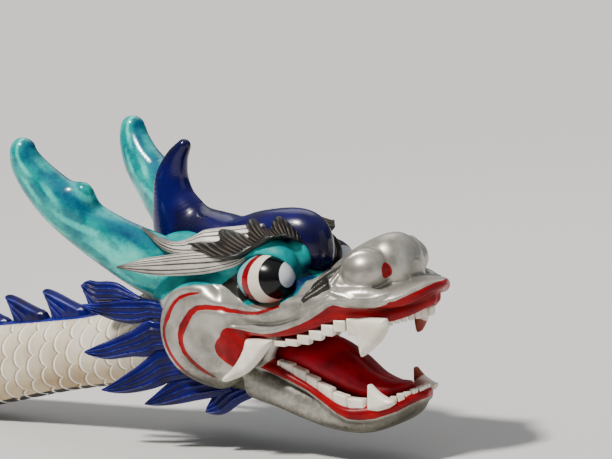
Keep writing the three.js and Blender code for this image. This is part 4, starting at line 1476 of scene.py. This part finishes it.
@dataclass
class Neck:
    """The neck with carved scales, a blue ridge line and a black underside."""

    sections: Rows = (
        (46.3, 7, 68, 86), (110, 16, 68, 84), (200, 31, 66, 79), (300, 47, 65, 74),
        (380, 59, 66, 72), (470, 76, 70, 76), (540, 96, 78, 90), (600, 118, 86, 104))
    power: float = 2.2
    along_pitch: float = 36.0
    around_pitch: float = 49.0
    scale_reach: float = 25.0
    rise: float = 3.4
    ridge_half: float = 22.0
    black_half: float = 40.0
    stain_half: float = 92.0

    def scales(self, along: Array, around: Array) -> tuple[Array, Array, Array]:
        """Return the height of the scales, how far the foot of an edge is, and its rim."""
        height, foot, rim = (np.full(along.shape, start) for start in (0.0, 9.0, 90.0))
        top = np.full(along.shape, -np.inf)
        for row in range(-1, int(620 / self.along_pitch) + 2):
            tip = row * self.along_pitch
            near = (around - 0.5 * self.around_pitch * (row % 2 - 1)) % self.around_pitch
            off = (near - 0.5 * self.around_pitch) / self.scale_reach
            bow = np.sqrt(np.maximum(1 - off**2, 0))
            gap = along - tip - self.scale_reach * 0.9 * (1 - bow)
            over = (gap >= 0) & (tip > top)
            level = self.rise * np.clip(1 - gap / (2.1 * self.along_pitch), 0, 1)
            height, rim = np.where(over, level, height), np.where(over, gap, rim)
            top, foot = np.where(over, tip, top), np.where(over, 9.0, foot)
            foot = np.where((gap < 0) & (gap > -9), np.minimum(foot, -gap), foot)
        return height, foot, rim

    def skin(self) -> Skin:
        """Carve the neck through fine rings."""
        rows = spline(self.sections, 8)
        xs = np.linspace(rows[0, 0], rows[-1, 0], 340)
        middle, w, h = (np.interp(xs, rows[:, 0], column)[:, None] for column in rows[:, 1:].T)
        u, v = squared_circle(264, 2 / self.power)
        y, z = w * v, h * u
        arc = np.cumsum(np.hypot(np.diff(y, axis=1, prepend=y[:, :1]),
                                 np.diff(z, axis=1, prepend=z[:, :1])), axis=1)
        arc = np.where(v < 0, arc - arc[:, -1:], arc)
        x = xs[:, None] + 0 * y
        height, foot, rim = self.scales(x - 0.12 * z, arc)
        arc = np.abs(arc)
        keel = np.clip((arc - 24) / 8, 0, 1) * np.clip((x - xs[0]) / 6, 0, 1)
        ny, nz = y / w**2, z / h**2
        lift = (height * keel * 0.9 - 0.8) / np.hypot(ny, nz)
        skin = ring_skin(np.stack([x, y + lift * ny, z + lift * nz + middle], 2)).with_relief()
        low = arc.max(axis=1, keepdims=True) - arc
        # Painted shade at the foot of each scale edge and towards the back of each scale, and a painted
        # highlight along the lit rim; the paint takes them as hollow and relief.
        shade = keel * (np.exp(-(foot / 3.4) ** 2) + 0.35 * np.clip((rim - 12) / 26, 0, 1))
        rim_highlight = 0.7 * keel * np.exp(-((rim - 4) / 4.0) ** 2)
        skin.marks.update(
            hollow=on_rings(shade, 0.0), relief=on_rings(rim_highlight, 0.0),
            blue_edge=on_rings(arc - self.ridge_half, 9.0),
            black_line=on_rings(low - self.black_half, 9.0),
            # Yellower, darker paint towards the bottom of the neck.
            stain=on_rings(low - self.stain_half, 99.0))
        return skin

    def build(self) -> None:
        """Carve and paint the neck."""
        carve_object("scaled_neck", self.skin(), NECK, ["neck"])


@dataclass
class DorsalFins:
    """Four blue fins along the top of the neck."""

    outline: Rows = (
        (0, 0), (9, 1), (22, -2), (42, -10), (66, -21), (88, -30), (106, -38), (106, -64),
        (8, -84), (12, -66), (13, -48), (10, -30), (5, -12))
    ribs: Sequence[Rows] = (
        ((2, -2, 0.8), (30, -12, 1.4), (62, -26, 1.4), (94, -40, 0.8)),
        ((3, -4, 0.5), (30, -23, 1.0), (60, -42, 0.6)),
        ((4, -8, 0.5), (22, -28, 1.0), (46, -52, 0.6)),
        ((7, -14, 0.5), (18, -36, 1.0), (32, -60, 0.6)))
    first_tip: float = 44.0
    pitch: float = 105.5
    slope: float = 0.152
    count: int = 4

    def pattern(self) -> Skin:
        """Carve one fin about its tip."""
        c = Clay((-10, -24, -96), (116, 24, 12), 2.0)
        c.add(Puff(spline(self.outline, 2), (50, 0, -30, 0, 0), 13, 17), 1)
        for reach in ((-24, -3), (3, 24)):
            for rib in self.ribs:
                c.trace([point[:2] for point in rib], 2.4, 1.8, reach)
        skin = c.skin()
        x, y, z = skin.places.T
        gaps = [stroke_distance(x, z, rib) for rib in self.ribs]
        skin.marks["ridge_line"] = np.maximum(np.minimum.reduce(gaps), 5 - np.abs(y))
        return skin

    def build(self) -> None:
        """Seat the fins in a row."""
        runs = [n * self.pitch for n in range(self.count)]
        seats = [Seat((self.first_tip + run, 0, 141 + self.slope * run), (0, -0.06, 0))
                 for run in runs]
        seat_copies("dorsal_row", self.pattern(), seats, MANE,
                    [f"dorsal_fin_{n}" for n in range(1, self.count + 1)], 0.02, 0.02, 4)


@dataclass
class SeatBlock:
    """The block of bare wood behind the neck, with four plugged bolt holes."""

    sections: Rows = ((0, 0, 68, 86), (46, 7, 68, 86))
    hole_heights: Sequence[float] = (-46, 46)

    def build(self) -> None:
        """Carve the block, and cut it flat at its fastening face."""
        c = Clay((-6, -76, -94), (52, 0, 100), 2.5)
        c.add(Loft(self.sections), 2)
        for z in self.hole_heights:
            c.cut(Bead((0, -34, z), (5, 13, 13)), 2).add(Bead((4, -34, z), (4.4, 11, 11)), 1)
        behind = -(c.low[0] + c.step * np.arange(c.field.shape[0]))[:, None, None]
        c.field = np.maximum(c.field, behind).astype(np.float32)
        carve_object("bare_seat_block", c.skin(mirrored=True), WOOD, ["seat_block"])


# Eyes, brows and hair


@dataclass
class Eyes:
    """Long eyeballs with a painted ring, white, pupil and glint.

    Each painted oval holds its middle and half sizes as the photograph shows them, in pixels
    across and up from the middle of the eyeball. The scale is millimetres for a pixel.
    """

    centre: Sequence[float] = (894.2, -89.6, 236.3)
    half: Sequence[float] = (57.0, 43.0, 43.6)
    scale: float = 1.773
    white: Sequence[float] = (9.2, -0.9, 27.6, 27.6)
    ring: Sequence[float] = (5.2, -1.9, 30.0, 28.6)
    pupil: Sequence[float] = (12.6, 2.3, 20.3, 22.2)
    glint: Sequence[float] = (21.2, 4.8, 8.3, 13.0)

    def skin(self) -> Skin:
        """Turn the eyeball and mark its painted rings."""
        circle = np.linspace(0, FULL_TURN, 96, endpoint=False)
        a, b = np.meshgrid(np.linspace(0.02, math.pi - 0.02, 64), circle, indexing="ij")
        skin = ring_skin(np.stack([np.cos(a), np.sin(a) * np.cos(b), np.sin(a) * np.sin(b)], 2))
        skin.places = skin.places * np.array(self.half) + np.array(self.centre)
        skin.with_relief()
        off = skin.places - np.array(self.centre)
        across, high = (off @ np.array(way) / self.scale for way in (VIEW_RIGHT, VIEW_UP))
        white, red, pupil, glint = (
            self.scale * oval_distance((across - oval[0], high - oval[1]), oval[2:])
            for oval in (self.white, self.ring, self.pupil, self.glint))
        skin.marks.update(ring_red=np.maximum(red, -white), ring_turquoise=-red, pupil=pupil,
                          glint=glint)
        return skin

    def build(self) -> None:
        """Paint both eyes."""
        carve_sides("painted_eye", self.skin(), EYE, "eye")


@dataclass(frozen=True)
class Leaf:
    """A carved leaf between two edges that meet at its tip, with ribs along or across it."""

    upper: Rows
    lower: Rows
    half: float
    ribs: float
    rib: float
    lean: float = 0.0
    sharp: float = 3.0
    back: float = 0.6
    rib_width: float = 1.0
    drift: float = 0.0

    def edge(self, rows: Rows, count: int) -> Array:
        """Return an edge with its points evenly spread."""
        line = spline(rows, 8)
        return on_line(line, np.linspace(0, run_length(line)[-1], count))

    def skin(self, along: int, across: int) -> Skin:
        """Carve the leaf.

        Args:
            along: stations from the root to the tip.
            across: stations from the lower edge to the upper edge.

        Returns:
            Its closed surface, with the distance to the nearest rib.
        """
        top, low = self.edge(self.upper, along), self.edge(self.lower, along)
        u, v = np.linspace(0, 1, along)[:, None], np.linspace(0, 1, across)
        sheet = low[:, None] + (top - low)[:, None] * v[:, None]
        width = np.linalg.norm(top - low, axis=1)[:, None]
        face = np.cross(np.gradient(sheet, axis=0), np.gradient(sheet, axis=1))
        face /= np.maximum(np.linalg.norm(face, axis=2, keepdims=True), 1e-9)
        way = face[: along // 2].mean((0, 1))
        way *= -np.sign(way[1]) / np.linalg.norm(way)
        fade = np.minimum(1, width / (2.2 * self.half))
        round_off = (1 - np.abs(2 * v - 1) ** 3.0) ** 0.6
        drift = self.drift * np.sin(2.3 * u + 5.1 * v) * np.sin(np.pi * v)
        phase = self.ribs * (v + drift) + self.lean * u
        ridge = (0.5 + 0.5 * np.cos(FULL_TURN * phase)) ** self.sharp - 0.3
        front = fade * (self.half * round_off
                        + self.rib * ridge * np.minimum(1, 6 * np.minimum(v, 1 - v)))
        skin = shell_skin(sheet, way, front, self.half * self.back * fade * round_off)
        gap = np.abs((phase + 0.5) % 1 - 0.5) * width / self.ribs
        skin.marks["ridge_line"] = on_shell(gap - self.rib_width, 9.0)
        # Grooves between the strands are darkened as grime and painted shade.
        if self.rib < 0:
            skin.marks["hollow"] = on_shell(np.exp(-(gap / 1.5) ** 2), 0.0)
        return skin


@dataclass
class Brows:
    """Black feathered brows of three lobes, whose barbs run back from a quill over the eye."""

    lower: Rows = (
        (807, -125, 277), (826, -125, 276), (845, -125, 278), (860, -119, 281),
        (866, -113, 284), (870, -108, 286), (875, -104, 289), (881, -100, 293), (888, -99, 296),
        (894, -97, 300), (899, -96, 303), (904, -94, 305), (908, -92, 308), (913, -88, 309),
        (917, -85, 311), (923, -81, 311), (928, -79, 312), (931, -75, 310), (935, -69, 309),
        (938, -65, 306), (942, -59, 303), (942, -48, 298), (943, -37, 293), (943, -34, 291))
    upper: Rows = (
        (737, -113, 300), (747, -111, 301), (770, -107, 301), (788, -104, 302), (803, -101, 306),
        (802, -101, 318), (807, -98, 325), (816, -87, 323), (826, -74, 316), (834, -62, 312),
        (835, -61, 326), (838, -56, 335), (845, -49, 337), (852, -43, 329), (860, -41, 323),
        (872, -38, 318), (874, -38, 324), (882, -36, 335), (892, -35, 340), (904, -34, 334),
        (920, -35, 324), (933, -37, 312), (940, -38, 302), (944, -38, 293))
    barbs: float = 25.0
    half: float = 5.0
    back: float = 22.0
    rib: float = 2.4
    way: Sequence[float] = (0.12, -0.86, 0.5)

    def build(self) -> None:
        """Carve and paint both brows, from the quill to the tips of the barbs."""
        low, top = spline(self.lower, 10), spline(self.upper, 10)
        u, v = np.linspace(0, 1, len(low))[:, None], np.linspace(0, 1, 30)
        sheet = low[:, None] + (top - low)[:, None] * v[:, None]
        sheet[..., 2] -= 3.0 * np.sin(np.pi * v) * np.minimum(1, 6 * u)
        ends = np.minimum(1, np.minimum(u, 1 - u) * 14 + 0.12) ** 0.5
        dome = (1 - np.abs(2 * v - 1) ** 4) ** 0.5 * ends
        comb = np.cos(FULL_TURN * self.barbs * u)
        body = np.clip((v - 0.12) / 0.1, 0, 1) * np.clip((1 - v) / 0.15, 0, 1)
        quill = 2.0 * np.exp(-((v - 0.06) / 0.05) ** 2)
        front = self.half * dome + (self.rib * comb * body + quill) * ends
        skin = shell_skin(sheet, np.array(self.way), front, self.back * dome)
        rub = np.clip(comb, 0, 1) * body * np.clip((0.95 - v) / 0.4, 0, 1)
        # The gaps between the barbs are darkened as grime and painted shade; the barb tops are rubbed.
        skin.marks.update(relief=on_shell(0.75 * rub, 0.0),
                          hollow=on_shell(np.clip(-comb, 0, 1) * body, 0.0))
        carve_sides("feathered_brow", skin, BROW, "brow")


@dataclass
class HairLocks:
    """Two silver locks on each flank, swept back over the root of the horn."""

    upper_top: Rows = (
        (868, -50, 328), (840, -56, 327), (813, -64, 325), (784, -72, 323), (756, -82, 320),
        (737, -86, 311), (712, -92, 301), (690, -94, 299), (659, -96, 306), (637, -97, 316),
        (618, -98, 325))
    upper_low: Rows = (
        (868, -90, 272), (835, -96, 268), (805, -102, 268), (775, -110, 270), (740, -110, 273),
        (703, -108, 277), (672, -105, 285), (645, -102, 301), (617, -99, 323))
    lower_top: Rows = (
        (876, -76, 294), (848, -92, 291), (802, -110, 287), (745, -116, 284), (689, -121, 278),
        (639, -134, 271), (588, -144, 258))
    lower_low: Rows = (
        (876, -80, 284), (862, -92, 275), (846, -104, 262), (810, -115, 252), (753, -118, 243),
        (666, -128, 241), (588, -145, 255))

    def build(self) -> None:
        """Carve and paint the locks."""
        for name, top, low, half, back in (
                ("upper", self.upper_top, self.upper_low, 6, 4.0),
                ("lower", self.lower_top, self.lower_low, 7, 2.2)):
            skin = Leaf(top, low, half, 6, -2.2, sharp=9.0, lean=0.5, back=back, drift=0.09).skin(90, 84)
            carve_sides(f"silver_lock_{name}", skin, LOCK, f"hair_lock_{name}")


@dataclass
class Mane:
    """Six blue fins on each flank, fanned back from behind the cheek."""

    fins: Sequence[tuple[Rows, Rows]] = (
        (((700, -92, 184), (640, -98, 187), (611, -100, 191), (591, -102, 198), (574, -103, 207),
          (552, -105, 218), (529, -107, 221), (505, -109, 220), (486, -110, 222), (472, -112, 218)),
         ((700, -92, 178), (640, -98, 180), (598, -100, 184), (563, -102, 184), (527, -104, 182),
          (495, -106, 181), (482, -108, 189), (473, -110, 200), (471, -112, 215))),
        (((710, -94, 178), (647, -100, 183), (625, -103, 187), (603, -106, 188), (569, -109, 189),
          (534, -112, 184), (498, -115, 179), (467, -118, 177)),
         ((710, -94, 150), (636, -100, 152), (620, -103, 151), (602, -105, 145), (574, -108, 142),
          (540, -110, 146), (510, -113, 155), (488, -115, 164), (466, -118, 175))),
        (((710, -96, 146), (638, -104, 149), (624, -107, 152), (604, -110, 144), (585, -113, 132),
          (559, -115, 122), (530, -118, 111), (498, -121, 100), (468, -124, 88)),
         ((710, -96, 100), (639, -104, 95), (621, -107, 85), (605, -110, 81), (583, -113, 81),
          (553, -115, 77), (520, -118, 73), (490, -121, 77), (467, -124, 84))),
        (((720, -90, 102), (635, -100, 97), (617, -104, 86), (597, -107, 72), (574, -111, 57),
          (553, -115, 45), (526, -118, 29), (500, -122, 16)),
         ((730, -90, 48), (657, -100, 35), (635, -104, 27), (613, -107, 20), (586, -111, 14),
          (558, -115, 10), (529, -118, 9), (499, -122, 13))),
        (((760, -76, 62), (690, -87, 54), (666, -92, 46), (645, -98, 32), (629, -104, 19),
          (612, -109, 5), (598, -114, -6)),
         ((790, -76, 14), (751, -86, 9), (735, -90, 7), (707, -97, 2), (678, -101, -4),
          (647, -105, -9), (618, -110, -11), (597, -114, -9))),
        (((790, -66, 34), (762, -74, 28), (745, -80, 17), (736, -85, 5), (731, -89, -7),
          (728, -94, -16)),
         ((860, -66, 26), (840, -74, 18), (823, -77, 10), (801, -82, 0), (778, -85, -15),
          (761, -88, -22), (744, -91, -23), (727, -94, -19))))

    def build(self) -> None:
        """Carve and paint the fins."""
        for number, (top, low) in enumerate(self.fins, 1):
            skin = Leaf(top, low, 7, 4, 3.4, sharp=5.0, lean=0.35, rib_width=0.4).skin(72, 57)
            carve_sides(f"mane_leaf_{number}", skin, MANE, f"mane_fin_{number}")


# The view


def add_floor() -> None:
    """Set the plain pale floor."""
    mesh = bpy.data.meshes.new("floor")
    s, z = 40.0, -0.1
    mesh.from_pydata([(-s, -s, z), (s, -s, z), (s, s, z), (-s, s, z)], [], [(0, 1, 2, 3)])
    floor = bpy.data.objects.new("floor", mesh)
    bpy.context.scene.collection.objects.link(floor)
    material = bpy.data.materials.new("pale_floor")
    material.use_nodes = True
    shader = material.node_tree.nodes["Principled BSDF"]
    shader.inputs["Base Color"].default_value = (0.62, 0.62, 0.61, 1)
    shader.inputs["Roughness"].default_value = 0.7
    mesh.materials.append(material)


def add_lights() -> None:
    """Set the sun of the photograph, two soft lamps and a sky that is paler overhead."""
    scene = bpy.context.scene
    world = bpy.data.worlds.new("studio")
    world.use_nodes = True
    w = Wiring(world.node_tree)
    way = w.node("ShaderNodeTexCoord").outputs["Generated"]
    height = w.node("ShaderNodeSeparateXYZ", {0: way}).outputs["Z"]
    sky = w.mix(w.ramp(height, 0.05, 0.9), (0.2, 0.25, 0.32, 1), (1.0, 1.0, 1.0, 1))
    background = world.node_tree.nodes["Background"]
    world.node_tree.links.new(sky, background.inputs[0])
    background.inputs[1].default_value = 0.42
    scene.world = world

    def add_lamp(light: bpy.types.Light, place: Vector, way: Vector) -> None:
        """Set a light at a place, shining along a direction."""
        lamp = bpy.data.objects.new(light.name, light)
        lamp.location = place
        lamp.rotation_euler = way.to_track_quat("-Z", "Y").to_euler()
        scene.collection.objects.link(lamp)

    aim = Vector((0.78, 0.0, 0.2))
    sun = bpy.data.lights.new("key", "SUN")
    sun.energy, sun.angle, sun.color = 5.1, 0.12, (1.0, 0.96, 0.9)
    add_lamp(sun, Vector(), VIEW_RIGHT * 0.55 - VIEW_BACK * 0.5 - VIEW_UP * 0.85)
    for name, way, far, size, power in (
            ("fill", VIEW_RIGHT * 0.9 + VIEW_BACK * 0.7 + VIEW_UP * 0.25, 3.6, 2.4, 10.0),
            ("top", VIEW_UP - VIEW_BACK * 0.6, 3.2, 2.0, 16.0)):
        light = bpy.data.lights.new(name, "AREA")
        light.size, light.energy = size, power
        place = aim + way.normalized() * far
        add_lamp(light, place, aim - place)


def add_camera() -> None:
    """Set the camera of the photograph."""
    lens = bpy.data.cameras.new("camera")
    lens.sensor_fit, lens.sensor_width = "HORIZONTAL", SENSOR_MM
    lens.lens = FOCAL_PIXELS / PHOTO_WIDTH * SENSOR_MM
    lens.clip_end = 60.0
    camera = bpy.data.objects.new("camera", lens)
    turn = Matrix((VIEW_RIGHT, VIEW_UP, VIEW_BACK)).transposed().to_4x4()
    camera.matrix_world = Matrix.Translation(VIEW_PLACE) @ turn
    bpy.context.scene.collection.objects.link(camera)
    bpy.context.scene.camera = camera


def main() -> None:
    """Build every sub-assembly in order."""
    logging.basicConfig(level=logging.INFO, format="%(name)s: %(message)s")
    add_floor()
    add_lights()
    add_camera()
    for part in (CarvedHead(), Crest(), Horns(), Fangs(), TeethRows(), Tongue(), Eyes(), Brows(),
                 HairLocks(), Mane(), Neck(), DorsalFins(), SeatBlock()):
        LOG.info("building %s", type(part).__name__)
        part.build()


if __name__ == "__main__":
    main()
